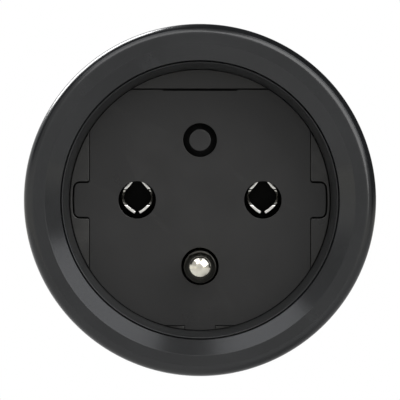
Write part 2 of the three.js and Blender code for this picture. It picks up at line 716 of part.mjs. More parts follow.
function makeRelay() {
  const relay = new THREE.Group();
  relay.name = 'relay';
  relay.add(
    node('relay_base', 'relay_plastic', block(-8.2, 8.2, 0, 1.6, -4, 4)),
    node('relay_cover', 'relay_plastic', relayCover()),
    node('relay_bobbin', 'nylon_natural', relayBobbin()),
    node('relay_winding', 'copper_wire', relayWinding()),
    node('relay_core', 'soft_iron', relayCore()),
    node('relay_frame', 'soft_iron', relayFrame()),
    node('relay_armature', 'soft_iron', block(HINGE_X - 0.7, 1.5, 11.5, 12.3, -3, 3)),
    node('relay_moving_contact', 'contact_silver', relayMovingContact()),
    node('relay_fixed_contact', 'contact_silver', relayFixedContact()),
  );
  relay.position.set(0, BOARD_BACK + TOUCH_GAP, 8.5);
  return relay;
}

// ---------------------------------------------------------------- power and radio parts

// A round can that stands on the front or the back of the board.
function can(radius, from, to) {
  const edge = 0.4;
  return revolve([
    [0, from], [radius - edge, from], [radius, from + edge],
    [radius, to - edge], [radius - edge, to], [0, to],
  ], PIN_ROUND);
}

function drumInductor(radius, from, to) {
  const waist = radius - 0.35;
  const rim = 1;
  return revolve([
    [0, from], [radius, from], [radius, from + rim], [waist, from + rim],
    [waist, to - rim], [radius, to - rim], [radius, to], [0, to],
  ], PIN_ROUND);
}

function varistor() {
  const geometry = new THREE.CylinderGeometry(3.5, 3.5, 2.8, PIN_ROUND);
  geometry.rotateZ(Math.PI / 2);
  geometry.translate(0, 27.6, 0);
  const leads = [-2, 2].map((z) => block(-0.3, 0.3, 29, BOARD_FRONT - TOUCH_GAP, z - 0.3, z + 0.3));
  return joinAll(solidOf(geometry), ...leads);
}

function placed(mesh, x, y, z) {
  mesh.position.set(x, y, z);
  return mesh;
}

function addElectronics(group) {
  const front = BOARD_FRONT - TOUCH_GAP;
  const back = BOARD_BACK + TOUCH_GAP;
  const chipFront = front - 1.3;
  group.add(
    placed(node('bulk_capacitor_1', 'capacitor_sleeve', can(3.1, 22, front)), -5, 0, 18),
    placed(node('bulk_capacitor_2', 'capacitor_sleeve', can(3.1, 22, front)), 5, 0, 18),
    placed(node('reservoir_capacitor', 'capacitor_sleeve', can(3.15, back, 45)), 7.8, 0, -10.2),
    placed(node('drum_inductor', 'ferrite_core', drumInductor(3.15, back, 42)), -7.8, 0, -10.2),
    placed(node('filter_choke', 'ferrite_core', drumInductor(2.7, 23, front)), -18.2, 0, 6),
    placed(node('fuse', 'ceramic_body', can(1.8, 23.4, front)), -18.2, 0, -6),
    placed(node('varistor', 'varistor_coat', varistor()), 18.2, 0, 6),
    node('film_capacitor', 'film_box', block(-5.2, 5.2, back, 44, -5.2, 1.4)),
    placed(node('regulator_chip', 'chip_resin', block(-2.5, 2.5, chipFront, front, -2, 2)), -3, 0, 8.5),
    placed(node('metering_chip', 'chip_resin', block(-3, 3, chipFront, front, -2, 2)), 0, 0, -3.5),
    placed(node('current_shunt', 'tinned_brass', block(-3.2, 3.2, front - 0.8, front, -1.6, 1.6)), 14.5, 0, -8),
    node('radio_board', 'board_laminate', block(-7.5, 7.5, 22.4, front, -19.4, -18.6)),
    node('radio_shield', 'tinned_brass', block(-5, 5, 24.6, 30.6, -18.55, -16.9)),
  );
}

// ---------------------------------------------------------------- the whole plug

function makePlug() {
  const plug = new THREE.Group();
  plug.name = 'smart_plug';
  const housing = new THREE.Group();
  housing.name = 'housing';
  housing.position.y = -NOSE_FACE_DEPTH;
  plug.add(housing);

  housing.add(
    node('front_shell', 'black_plastic', frontShell()),
    node('recess_liner', 'black_plastic', recessLiner()),
    node('socket_face', 'face_plastic', socketFace()),
    node('contact_carrier', 'carrier_plastic', contactCarrier()),
    node('rear_shell', 'black_plastic', rearShell()),
    node('main_board', 'board_laminate', mainBoard()),
    node('button_board', 'board_laminate', buttonBoard()),
    node('board_header', 'carrier_plastic', boardHeader()),
    node('earth_yoke', 'nickel_plate', earthYoke()),
    placed(node('button_cap', 'face_plastic', buttonCap()), 0, 0, BUTTON_HEIGHT),
    placed(node('button_spring', 'spring_steel', coilSpring(1.75, 0.15, 20.05, 21.55, 3)), 0, 0, BUTTON_HEIGHT),
    placed(node('switch_body', 'chip_resin', switchBody()), 0, 0, BUTTON_HEIGHT),
    placed(node('switch_plunger', 'nylon_natural', rod(0.85, 20.8, 21.85, SMALL_ROUND)), 0, 0, BUTTON_HEIGHT),
    placed(node('status_led', 'led_resin', block(-0.4, 0.4, 22.4, 23.2, -0.8, 0.8)), 4.2, 0, BUTTON_HEIGHT),
    placed(node('earth_pin', 'nickel_plate', earthPin()), 0, 0, EARTH_DROP),
    placed(node('earth_sleeve', 'tinned_brass', earthSleeve()), 0, 0, EARTH_DROP),
    placed(node('contact_clip_left', 'tinned_brass', contactClip()), -PIN_OFFSET, 0, 0),
    placed(node('contact_clip_right', 'tinned_brass', contactClip()), PIN_OFFSET, 0, 0),
    placed(node('plug_pin_left', 'nickel_plate', plugPin()), -PIN_OFFSET, 0, 0),
    placed(node('plug_pin_right', 'nickel_plate', plugPin()), PIN_OFFSET, 0, 0),
    makeRelay(),
  );
  addElectronics(housing);
  placeScrews(
    housing, 'housing_screw', () => screw(2.1, 34.65, 35.9, 1.1, 26), HOUSING_SCREW_CIRCLE, CORNER_ANGLES,
  );
  placeScrews(
    housing, 'carrier_screw', () => screw(1.4, 21.45, 22.7, 0.75, 13), CARRIER_SCREW_CIRCLE, AXIS_ANGLES,
  );
  return plug;
}

export default makePlug();
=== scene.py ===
"""A round smart plug: a socket recess in front, a two-pin nose behind, and the parts between.

Sizes are millimetres, written as depths behind the front ring and as distances across it.
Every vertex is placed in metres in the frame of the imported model: +Y into the wall, +Z up.
"""

import json
import math

import bmesh
import bpy
from mathutils import Matrix, Vector

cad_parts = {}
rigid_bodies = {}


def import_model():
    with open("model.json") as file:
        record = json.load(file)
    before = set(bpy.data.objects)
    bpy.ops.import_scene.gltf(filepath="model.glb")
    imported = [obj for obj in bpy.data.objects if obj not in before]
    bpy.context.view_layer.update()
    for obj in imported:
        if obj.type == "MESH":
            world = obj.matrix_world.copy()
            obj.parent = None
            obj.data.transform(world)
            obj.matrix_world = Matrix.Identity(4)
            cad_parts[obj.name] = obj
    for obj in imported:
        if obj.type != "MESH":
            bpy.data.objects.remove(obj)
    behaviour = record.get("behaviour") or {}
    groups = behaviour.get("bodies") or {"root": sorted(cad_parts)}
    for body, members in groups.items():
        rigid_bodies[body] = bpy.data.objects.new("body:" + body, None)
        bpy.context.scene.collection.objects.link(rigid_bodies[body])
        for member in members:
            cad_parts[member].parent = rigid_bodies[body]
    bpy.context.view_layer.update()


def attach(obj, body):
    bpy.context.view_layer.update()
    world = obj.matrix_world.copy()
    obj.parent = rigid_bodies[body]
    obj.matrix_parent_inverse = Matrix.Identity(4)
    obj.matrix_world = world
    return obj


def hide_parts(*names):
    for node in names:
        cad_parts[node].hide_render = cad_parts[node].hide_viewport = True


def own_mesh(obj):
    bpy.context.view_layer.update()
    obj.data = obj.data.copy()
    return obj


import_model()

MM = 0.001
FULL_TURN = 2 * math.pi
QUARTER_TURN = math.pi / 2
SHARP_CORNER = math.radians(35)

# Body.
NOSE_FACE_DEPTH = 53.0
SHOULDER_DEPTH = 36.0
SHOULDER_WALL = 1.4
SEAM_DEPTH = 33.6
BODY_RADIUS = 26.2
NOSE_RADIUS = 18.7
NOSE_WALL = 2.2
NOSE_CAVITY_RADIUS = 16.9

# Front ring and shell.
RING_INNER_FLAT = 23.1
RING_INNER_EDGE = 20.78
RING_BEVEL_DEPTH = 1.35
RING_THICKNESS = 2.6
EDGE_ROUNDING = 1.54
SHELL_BORE = 24.0
SHELL_BACK = SEAM_DEPTH - 0.3

# Recess.
RECESS_DEPTH = 17.0
RECESS_LIP_RADIUS = 20.5
RECESS_LIP_DEPTH = 3.0
RECESS_FOOT_RADIUS = 19.75
LINER_FLANGE_RADIUS = 23.8
LINER_FLANGE_FRONT = 2.9
LINER_FLANGE_BACK = 4.3
LINER_END_DEPTH = 19.3

# Keyed floor plate and the carrier pocket that it lies in.
FACE_RADIUS = 19.67
FACE_HALF_WIDTH = 16.68
FACE_TOP = 16.68
FACE_BOTTOM = -18.96
FACE_BACK_DEPTH = 18.85
TOP_SLOT_HALF_WIDTH = 5.6
TOP_SLOT_DEPTH = 0.16
TAB_HALF_HEIGHT = 2.57
TAB_RADIUS = 19.05
TAB_GAP = 0.21
SIDE_GAP = 0.045
KEY_HALF_WIDTH = 2.3
KEY_GAP = 0.06
POCKET_DEPTH = 19.0

# Contact carrier: the depths where its pocket floor, its flange and its body end.
CARRIER_RADIUS = 22.9
CARRIER_FLOOR_BACK = 19.4
CARRIER_FLANGE_BACK = 21.4
CARRIER_BODY_BACK = 28.8
CARRIER_END = 29.3
OVERLAP = 0.05

# Pins, holes and button.
PIN_OFFSET = 9.5
PIN_RADIUS = 2.4
PIN_LENGTH = 19.0
PIN_TIP_STEPS = 24
CONTACT_HOLE = 2.82
EARTH_HOLE = 2.81
EARTH = (0.0, -10.0)
BUTTON_HEIGHT = 9.05
BUTTON = (0.0, BUTTON_HEIGHT)
BUTTON_HOLE = 2.55

# Leaves of the contact clips, as points beside and above the pin.
LEAF = [
    (0.33, -1.9), (0.95, -1.5), (1.65, -0.85), (2.08, -0.2), (2.22, 0.45), (2.12, 1.05),
    (1.78, 1.7), (1.25, 2.3), (0.8, 2.9), (0.55, 3.35), (0.45, 3.7),
]
LEAF_THICKNESS = 0.42
LIP_CUT_END = 21.0
LIP_CUT_BACK = 1.9
LIP_CUT_HEIGHT = 0.45
LIP_CUT_SPREAD = 1.3

# Boards, and the faces that parts stand on in front of them and behind.
BOARD_FRONT = 31.9
BOARD_BACK = 33.5
FRONT_SEAT = BOARD_FRONT - 0.05
BACK_SEAT = BOARD_BACK + 0.05

# Screws, by the angles of their places on a circle.
CORNER_ANGLES = (45, 135, 225, 315)
AXIS_ANGLES = (0, 90, 180, 270)
HOUSING_SCREW_CIRCLE = 21.3
CARRIER_SCREW_CIRCLE = 21.7

# Relay.
RELAY_HEIGHT = 8.5
COIL_X = -2.0
CONTACT_X = 5.6
WINDING_START = 3.15
WINDING_END = 9.55

FLAT_FACE = 1


# ---------- shape helpers

def place(x, depth, z):
    """A point across, behind the front ring and up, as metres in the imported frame."""
    return Vector((x * MM, (depth - NOSE_FACE_DEPTH) * MM, z * MM))


def link(name, data):
    """Puts a mesh, a light or a camera in the scene as a new object."""
    thing = bpy.data.objects.new(name, data)
    bpy.context.scene.collection.objects.link(thing)
    return thing


def mesh_of(name, bm):
    mesh = bpy.data.meshes.new(name)
    bm.to_mesh(mesh)
    bm.free()
    return mesh


def new_piece(name, bm):
    """Turns a finished bmesh into an object with smooth faces and sharp corners.
    Faces that a helper numbered as flat stay flat."""
    mesh = mesh_of(name, bm)
    for polygon in mesh.polygons:
        polygon.use_smooth = polygon.material_index != FLAT_FACE
        polygon.material_index = 0
    mesh.set_sharp_from_angle(angle=SHARP_CORNER)
    return link(name, mesh)


def built(name, add_shape, *values, **options):
    """A new piece from one helper that adds a shape to a bmesh."""
    bm = bmesh.new()
    add_shape(bm, *values, **options)
    return new_piece(name, bm)


def loose_mesh(name, points, edges=()):
    """Bare points and edges for a pattern to start from."""
    mesh = bpy.data.meshes.new(name)
    mesh.from_pydata(points, edges, [])
    return link(name, mesh)


def joined(name, *pieces):
    """Joins finished pieces into one object."""
    bm = bmesh.new()
    for piece in pieces:
        bm.from_mesh(piece.data)
        bpy.data.objects.remove(piece)
    return link(name, mesh_of(name, bm))


def evaluated_mesh(piece):
    """What a piece looks like with its modifiers, as a plain mesh."""
    bpy.context.view_layer.update()
    depsgraph = bpy.context.evaluated_depsgraph_get()
    return bpy.data.meshes.new_from_object(piece.evaluated_get(depsgraph))


def bake_modifiers(piece):
    """Keeps the shape that the modifiers make, and removes them."""
    mesh = evaluated_mesh(piece)
    piece.modifiers.clear()
    piece.data = mesh


def cut(piece, *cutters):
    """Cuts shapes out of a piece and removes the cutters."""
    for cutter in cutters:
        modifier = piece.modifiers.new("cut", "BOOLEAN")
        modifier.operation = "DIFFERENCE"
        modifier.solver = "EXACT"
        modifier.object = cutter
    bake_modifiers(piece)
    for cutter in cutters:
        bpy.data.objects.remove(cutter)


def ease_edges(piece, width, degrees):
    """Rounds every corner sharper than an angle."""
    modifier = piece.modifiers.new("ease", "BEVEL")
    modifier.width = width * MM
    modifier.segments = 2
    modifier.limit_method = "ANGLE"
    modifier.angle_limit = math.radians(degrees)
    modifier.use_clamp_overlap = True
    bake_modifiers(piece)
    for polygon in piece.data.polygons:
        polygon.use_smooth = len(polygon.vertices) <= 4
    piece.data.set_sharp_from_angle(angle=SHARP_CORNER)


def rounded(corners, steps=6, support=False):
    """A closed loop of (first, second, fillet) corners as points, each fillet an arc. Support
    adds a point beside each end of an arc, which keeps the shading of flat walls even."""
    points = []
    for i, (first, second, fillet) in enumerate(corners):
        here = Vector((first, second))
        if fillet <= 0:
            points.append((first, second))
            continue
        back = (Vector(corners[i - 1][:2]) - here).normalized()
        ahead = (Vector(corners[(i + 1) % len(corners)][:2]) - here).normalized()
        half = back.angle(ahead) / 2
        reach = fillet / math.tan(half)
        lead = reach + min(0.06, reach * 0.3)
        centre = here + (back + ahead).normalized() * (fillet / math.sin(half))
        start, end = here + back * reach - centre, here + ahead * reach - centre
        sweep = start.angle(end) if start.cross(end) > 0 else -start.angle(end)
        arc = [centre + Matrix.Rotation(sweep * k / steps, 2) @ start for k in range(steps + 1)]
        if support:
            arc = [here + back * lead] + arc + [here + ahead * lead]
        points += [tuple(point) for point in arc]
    return points


def on_circle(radius, angle, centre=(0.0, 0.0)):
    return (centre[0] + radius * math.cos(angle), centre[1] + radius * math.sin(angle))


def arc_points(radius, start, end, steps, centre=(0.0, 0.0)):
    """Points on a circle between two angles in radians."""
    return [on_circle(radius, start + (end - start) * k / steps, centre) for k in range(steps + 1)]


def circle(radius, centre=(0.0, 0.0), segments=72):
    return arc_points(radius, 0.0, FULL_TURN, segments, centre)[:-1]


def around(radius, degrees):
    """Places on a circle about the middle, one for each angle."""
    return [on_circle(radius, math.radians(angle)) for angle in degrees]


def as_corners(points):
    """Plain points as corners with no fillet."""
    return [(x, z, 0.0) for x, z in points]


def mirrored(corners):
    """The same corners on the other side of the middle, still travelled the same way round."""
    return [(-x, z, fillet) for x, z, fillet in reversed(corners)]


def anticlockwise(outline):
    area = sum(
        outline[i - 1][0] * outline[i][1] - outline[i][0] * outline[i - 1][1]
        for i in range(len(outline))
    )
    return outline if area > 0 else outline[::-1]


def box_outline(left, right, bottom, top, fillet=0.0):
    corners = ((left, bottom), (right, bottom), (right, top), (left, top))
    return rounded([(x, z, fillet) for x, z in corners], 4)


def shifted(points, distance):
    """Moves a loop sideways: to its left as it is travelled for a positive distance."""
    moved = []
    for i, (x, z) in enumerate(points):
        last, following = points[i - 1], points[(i + 1) % len(points)]
        before = Vector((x - last[0], z - last[1])).normalized()
        after = Vector((following[0] - x, following[1] - z)).normalized()
        left = Vector((-before.y, before.x))
        middle = (left + Vector((-after.y, after.x))).normalized()
        reach = distance / max(middle.dot(left), 0.4)
        moved.append((x + middle.x * reach, z + middle.y * reach))
    return moved


def smooth_line(points, steps=8):
    """A Catmull-Rom curve through a list of 2-D points."""
    line = []
    for i in range(len(points) - 1):
        p0 = Vector(points[max(i - 1, 0)])
        p1, p2 = Vector(points[i]), Vector(points[i + 1])
        p3 = Vector(points[min(i + 2, len(points) - 1)])
        for k in range(steps):
            t = k / steps
            line.append(tuple(0.5 * (
                2 * p1 + (p2 - p0) * t + (2 * p0 - 5 * p1 + 4 * p2 - p3) * t * t
                + (3 * p1 - p0 - 3 * p2 + p3) * t ** 3
            )))
    line.append(tuple(points[-1]))
    return line


def strip_outline(line, thickness):
    """The anticlockwise outline of a bent strip that follows a centre line."""
    left, right = [], []
    for i, point in enumerate(line):
        along = Vector(line[min(i + 1, len(line) - 1)]) - Vector(line[max(i - 1, 0)])
        along.normalize()
        side = Vector((-along.y, along.x)) * thickness / 2
        left.append(tuple(Vector(point) + side))
        right.append(tuple(Vector(point) - side))
    return anticlockwise(right + left[::-1])


def bridge(bm, ring, after):
    """Faces between two rings of points, of which one may be a single point."""
    count = max(len(ring), len(after))
    made = []
    for s in range(count if count > 1 else 0):
        n = (s + 1) % count
        corners = (ring[s % len(ring)], after[s % len(after)], after[n % len(after)], ring[n % len(ring)])
        made.append(bm.faces.new(list(dict.fromkeys(corners))))
    return made


def turn_into(bm, loop, segments=160, centre=(0.0, 0.0)):
    """Adds a closed loop of (radius, depth) points turned round a line along the depth."""
    rings = []
    for radius, depth in loop:
        points = circle(radius, centre, segments) if radius > 1e-6 else [centre]
        rings.append([bm.verts.new(place(x, depth, z)) for x, z in points])
    made = [face for i in range(len(rings)) for face in bridge(bm, rings[i - 1], rings[i])]
    bmesh.ops.recalc_face_normals(bm, faces=made)


def turned(name, corners, segments=160, centre=(0.0, 0.0), steps=6):
    return built(name, turn_into, rounded(corners, steps, True), segments, centre)


def rod(radius, front, back, front_fillet=0.0, back_fillet=0.0):
    """The corners of a solid cylinder, for turning."""
    return [(0.0, front, 0.0), (radius, front, front_fillet), (radius, back, back_fillet), (0.0, back, 0.0)]


def slab_into(bm, outer, holes, front, back, edge=0.12, back_edge=0.05, margin=0.0):
    """Adds a flat part between two depths, with rounded front and eased back edges.
    The outer loop and the holes are all travelled anticlockwise. A margin keeps a narrow
    flat strip along the front edges, so that the big flat faces shade evenly."""
    profile = [(edge + margin, front)] if margin > 0 else []
    steps = 4
    for k in range(steps + 1):
        angle = QUARTER_TURN * k / steps
        profile.append((edge * (1 - math.sin(angle)), front + edge * (1 - math.cos(angle))))
    profile += [(0.0, back - back_edge), (back_edge, back)]
    made = []
    front_edges, back_edges = [], []
    for loop, side in [(outer, 1.0)] + [(hole, -1.0) for hole in holes]:
        rings = [
            [bm.verts.new(place(x, depth, z)) for x, z in shifted(loop, side * inset)]
            for inset, depth in profile
        ]
        for ring, after in zip(rings, rings[1:]):
            made += bridge(bm, ring, after)
        for ring, edges in ((rings[0], front_edges), (rings[-1], back_edges)):
            edges += [bm.edges.get((ring[s - 1], ring[s])) for s in range(len(ring))]
    for edges in (front_edges, back_edges):
        filled = bmesh.ops.triangle_fill(bm, edges=edges, use_beauty=True, use_dissolve=False)
        flat = [item for item in filled["geom"] if isinstance(item, bmesh.types.BMFace)]
        for face in flat:
            face.material_index = FLAT_FACE
        made += flat
    bmesh.ops.recalc_face_normals(bm, faces=made)


def slab(name, *values, **options):
    return built(name, slab_into, *values, **options)


def block_into(bm, low, high, edge=0.15, segments=3):
    """Adds a box between two (x, depth, z) corners with every edge rounded."""
    middle, size = (Vector(low) + Vector(high)) / 2, Vector(high) - Vector(low)
    box = bmesh.ops.create_cube(
        bm, size=1.0, matrix=Matrix.Translation(place(*middle)) @ Matrix.Diagonal((*(size * MM), 1.0))
    )
    edges = list(dict.fromkeys(side for vert in box["verts"] for side in vert.link_edges))
    if edge > 0:
        bmesh.ops.bevel(
            bm, geom=edges, offset=edge * MM, segments=segments, profile=0.5,
            affect="EDGES", clamp_overlap=True,
        )


def block(name, *values):
    return built(name, block_into, *values)


def strip_into(bm, rows):
    """Adds a bent strip through rows of (x, depth, z) points, closed at both ends."""
    rings = [[bm.verts.new(place(*point)) for point in row] for row in rows]
    faces = [face for ring, after in zip(rings, rings[1:]) for face in bridge(bm, ring, after)]
    for ring in (rings[0], rings[-1]):
        for s in range(len(ring) // 2 - 1):
            faces.append(bm.faces.new((ring[s], ring[s + 1], ring[-2 - s], ring[-1 - s])))
    bmesh.ops.recalc_face_normals(bm, faces=faces)


# ---------- node tree helper

class Nodes:
    """Adds nodes to a tree and links their sockets by name. In names, _ stands for a space."""

    def __init__(self, tree):
        self.tree = tree
        self.count = 0

    def add(self, kind, settings=None, **inputs):
        made = self.tree.nodes.new(kind)
        made.location = (self.count % 6 * 220, -(self.count // 6) * 260)
        self.count += 1
        for key, value in (settings or {}).items():
            setattr(made, key, value)
        for key, value in inputs.items():
            self.set(made, key, value)
        return made

    def set(self, made, key, value):
        name = key.replace("_", " ")
        self.feed(next(s for s in made.inputs if s.name == name and s.enabled), value)

    def feed(self, socket, value):
        """Links a socket to another one, or gives it a number, a vector or a colour."""
        if isinstance(value, bpy.types.NodeSocket):
            self.tree.links.new(value, socket)
        else:
            socket.default_value = (*value, 1.0) if socket.type == "RGBA" else value

    def numbered(self, kind, settings, values, output=0):
        """A node whose inputs are given by their numbers. Returns one of its outputs."""
        made = self.add(kind, settings)
        for slot, value in values.items():
            self.feed(made.inputs[slot], value)
        return made.outputs[output]

    def math(self, operation, *values, clamp=False):
        settings = {"operation": operation, "use_clamp": clamp}
        return self.numbered("ShaderNodeMath", settings, dict(enumerate(values)))

    def times(self, first, second):
        return self.math("MULTIPLY", first, second)

    def vectors(self, operation, first, second, output=0):
        return self.numbered("ShaderNodeVectorMath", {"operation": operation}, {0: first, 1: second}, output)

    def map(self, value, low, high, to_low=0.0, to_high=1.0):
        values = dict(enumerate((value, low, high, to_low, to_high)))
        return self.numbered("ShaderNodeMapRange", {"clamp": True}, values)

    def swing(self, mask, middle, spread):
        """A value that swings about its middle as a noise does."""
        return self.map(mask, 0.3, 0.7, middle - spread, middle + spread)

    def blend(self, factor, first, second, mode="MIX"):
        settings = {"data_type": "RGBA", "blend_type": mode}
        return self.numbered("ShaderNodeMix", settings, {0: factor, 6: first, 7: second}, 2)

    def xyz(self, **parts):
        return self.add("ShaderNodeCombineXYZ", **parts).outputs[0]

    def here(self):
        """The place on the piece, in metres."""
        return self.add("ShaderNodeTexCoord").outputs["Object"]

    def noise(self, where, scale, detail, roughness=0.5):
        made = self.add("ShaderNodeTexNoise", Vector=where, Scale=scale, Detail=detail, Roughness=roughness)
        return made.outputs["Fac"]

    def cells(self, where, scale, randomness=1.0):
        made = self.add("ShaderNodeTexVoronoi", Vector=where, Scale=scale, Randomness=randomness)
        return made.outputs["Distance"]

    def effect(self, tree, **values):
        """Places a shared effect and returns its outputs."""
        return self.add("ShaderNodeGroup", {"node_tree": tree}, **values).outputs


# ---------- shared surface effects

def effect_group(name, **inputs):
    """A shader node group with number inputs. Its outputs are added by give_out."""
    tree = bpy.data.node_groups.new(name, "ShaderNodeTree")
    for label, value in inputs.items():
        socket = tree.interface.new_socket(
            label.replace("_", " "), in_out="INPUT", socket_type="NodeSocketFloat"
        )
        socket.default_value = value
    nodes = Nodes(tree)
    return nodes, nodes.add("NodeGroupInput").outputs, nodes.here()


def give_out(nodes, **outputs):
    for label in outputs:
        nodes.tree.interface.new_socket(label, in_out="OUTPUT", socket_type="NodeSocketFloat")
    nodes.add("NodeGroupOutput", **outputs)
    return nodes.tree


def moulded_grain():
    """Spark-eroded mould grain: fine bumps of mixed size, and how matt each spot is."""
    nodes, given, here = effect_group("moulded_grain", Grain_Size=0.00018)
    scale = nodes.math("DIVIDE", 1.0, given["Grain Size"])
    bumps = nodes.times(nodes.cells(here, scale), 0.5)
    height = nodes.math("ADD", nodes.noise(here, scale, 2.0, 0.6), bumps)
    return give_out(nodes, Height=height, Matt=nodes.noise(here, 140.0, 4.0, 0.55))


def edge_wear():
    """Where corners have been rubbed: the convex edges, broken up by noise."""
    nodes, given, here = effect_group("edge_wear", Amount=0.5, Patchiness=300.0)
    sharp = nodes.map(nodes.add("ShaderNodeNewGeometry").outputs["Pointiness"], 0.52, 0.6)
    broken = nodes.map(nodes.noise(here, given["Patchiness"], 5.0), 0.42, 0.66)
    return give_out(nodes, Mask=nodes.times(nodes.times(sharp, broken), given["Amount"]))


def fine_dust():
    """Specks of lint and dust that settle on a surface, thin and sparse."""
    nodes, given, here = effect_group("fine_dust", Amount=0.3, Speck_Scale=2600.0)
    specks = nodes.map(nodes.cells(here, given["Speck Scale"]), 0.05, 0.16, 1.0, 0.0)
    sparse = nodes.map(nodes.noise(here, 220.0, 3.0), 0.55, 0.7)
    return give_out(nodes, Mask=nodes.times(nodes.times(specks, sparse), given["Amount"]))


def drawn_streaks():
    """Fine lines left along the depth by drawing, turning or rolling, and smears of tarnish."""
    nodes, given, here = effect_group("drawn_streaks", Across=9000.0, Along=500.0)
    stretch = nodes.xyz(X=given["Across"], Y=given["Along"], Z=given["Across"])
    lines = nodes.noise(nodes.vectors("MULTIPLY", here, stretch), 1.0, 3.0)
    return give_out(nodes, Height=lines, Mask=nodes.noise(here, 420.0, 4.0, 0.6))


GRAIN = moulded_grain()
WEAR = edge_wear()
DUST = fine_dust()
STREAKS = drawn_streaks()


# ---------- finishes

DUST_COLOUR = (0.22, 0.21, 0.2)
BARE_COPPER_PAD = (0.72, 0.71, 0.68)
POLISHED_TIN = (0.92, 0.91, 0.88)
# Painted shade: the clips blend to this dark colour deeper in the socket, from LIP_DEPTH back.
PAINTED_DEPTH_SHADE = (0.035, 0.033, 0.03)
LIP_DEPTH = 19.66


def new_material(name):
    """An empty material."""
    material = bpy.data.materials.new(name)
    material.use_nodes = True
    material.node_tree.nodes.clear()
    nodes = Nodes(material.node_tree)
    surface = nodes.add("ShaderNodeBsdfPrincipled")
    nodes.add("ShaderNodeOutputMaterial", Surface=surface.outputs[0])
    return material, nodes, surface


def dress(nodes, surface, colour, roughness, height, strength, relief, metallic=0.0):
    """Feeds a surface with its colour, its roughness and its fine relief in metres."""
    bump = nodes.add("ShaderNodeBump", Height=height, Strength=strength, Distance=relief)
    nodes.set(surface, "Base Color", colour)
    nodes.set(surface, "Roughness", roughness)
    nodes.set(surface, "Metallic", metallic)
    nodes.set(surface, "Normal", bump.outputs[0])


def grey(value, red=1.0, green=1.0, blue=1.0):
    return (value * red, value * green, value * blue)


def lighter(colour, gain, lift=0.0):
    return tuple(min(part * gain + lift, 1.0) for part in colour)


def moulded_plastic(name, colour, roughness, grain=0.00018, wear=0.4, dust=0.1, worn=2.6):
    """Matt moulded plastic: grain, uneven gloss, lighter rubbed corners and a little dust."""
    material, nodes, surface = new_material(name)
    texture = nodes.effect(GRAIN, Grain_Size=grain)
    rubbed = nodes.effect(WEAR, Amount=wear)["Mask"]
    dusty = nodes.effect(DUST, Amount=dust)["Mask"]
    shade = nodes.blend(1.0, colour, nodes.swing(texture["Matt"], 1.01, 0.15), "MULTIPLY")
    edged = nodes.blend(rubbed, shade, lighter(colour, worn, 0.006))
    matt = nodes.swing(texture["Matt"], roughness, 0.05)
    polished = nodes.math("SUBTRACT", matt, nodes.times(rubbed, 0.12))
    dulled = nodes.math("ADD", polished, nodes.times(dusty, 0.3), clamp=True)
    dress(nodes, surface, nodes.blend(dusty, edged, DUST_COLOUR), dulled, texture["Height"], 0.35, 0.000012)
    return material


def plated_metal(name, colour, roughness, across=9000.0, along=500.0, dull=(0.6, 0.58, 0.54)):
    """Plated or drawn metal: fine streaks, tarnish smears and brighter rubbed corners."""
    material, nodes, surface = new_material(name)
    streaks = nodes.effect(STREAKS, Across=across, Along=along)
    rubbed = nodes.effect(WEAR, Amount=0.6)["Mask"]
    tarnish = nodes.map(streaks["Mask"], 0.45, 0.75, 0.0, 0.55)
    base = nodes.blend(tarnish, colour, tuple(part * loss for part, loss in zip(colour, dull)))
    lines = nodes.swing(streaks["Height"], roughness, roughness * 0.2)
    dulled = nodes.math("ADD", lines, nodes.times(tarnish, 0.14), clamp=True)
    bright = nodes.blend(rubbed, base, lighter(colour, 1.12))
    dress(nodes, surface, bright, dulled, streaks["Height"], 0.12, 0.00001, metallic=1.0)
    return material


def clip_metal(name, colour):
    """Tinned strip: bright where plug pins polish the lips, and painted darker deeper in, as shade inside the
    socket.
    """
    material, nodes, surface = new_material(name)
    streaks = nodes.effect(STREAKS, Across=5000.0, Along=5000.0)
    rubbed = nodes.effect(WEAR, Amount=0.6)["Mask"]
    depth = nodes.add("ShaderNodeSeparateXYZ", Vector=nodes.here()).outputs["Y"]
    # The film mask is painted shade: the clip is darkened more the deeper it lies behind the lips.
    film = nodes.map(depth, place(0, LIP_DEPTH, 0).y, place(0, LIP_CUT_END, 0).y, 0.0, 0.7)
    patchy_painted_shade = nodes.times(film, nodes.map(streaks["Mask"], 0.2, 0.5, 0.9, 1.0))
    base = nodes.blend(patchy_painted_shade, nodes.blend(rubbed, colour, POLISHED_TIN), PAINTED_DEPTH_SHADE)
    lines = nodes.swing(streaks["Height"], 0.24, 0.06)
    dress(nodes, surface, base, lines, streaks["Height"], 0.12, 0.00001, metallic=1.0)
    return material


def laminate(name):
    """Green solder mask over copper tracks, with tinned pads and a woven glass core."""
    material, nodes, surface = new_material(name)
    facing = nodes.add("ShaderNodeMapping", Vector=nodes.here(), Rotation=(QUARTER_TURN, 0, 0))
    flat = facing.outputs[0]
    tracks = nodes.add(
        "ShaderNodeTexBrick", {"offset": 0.37, "squash": 1.6, "squash_frequency": 3}, Vector=flat,
        Scale=300.0, Mortar_Size=0.045, Mortar_Smooth=0.15, Brick_Width=0.9, Row_Height=0.32,
    ).outputs["Fac"]
    spread = nodes.noise(flat, 190.0, 2.0)
    pads = nodes.map(nodes.cells(flat, 330.0, 0.7), 0.2, 0.24, 1.0, 0.0)
    chosen = nodes.times(pads, nodes.map(spread, 0.5, 0.54))
    bands = {"wave_type": "BANDS", "bands_direction": "X"}
    weave = nodes.add("ShaderNodeTexWave", bands, Vector=flat, Scale=900.0).outputs["Fac"]
    mask = nodes.blend(tracks, (0.012, 0.075, 0.032), (0.02, 0.14, 0.055))
    woven = nodes.blend(nodes.map(weave, 0.2, 0.8, 0.0, 0.18), mask, (0.03, 0.11, 0.05))
    gloss = nodes.swing(spread, 0.34, 0.08)
    raised = nodes.math("ADD", nodes.times(tracks, 0.6), chosen)
    dress(nodes, surface, nodes.blend(chosen, woven, BARE_COPPER_PAD), gloss, raised, 0.5, 0.00003, chosen)
    return material


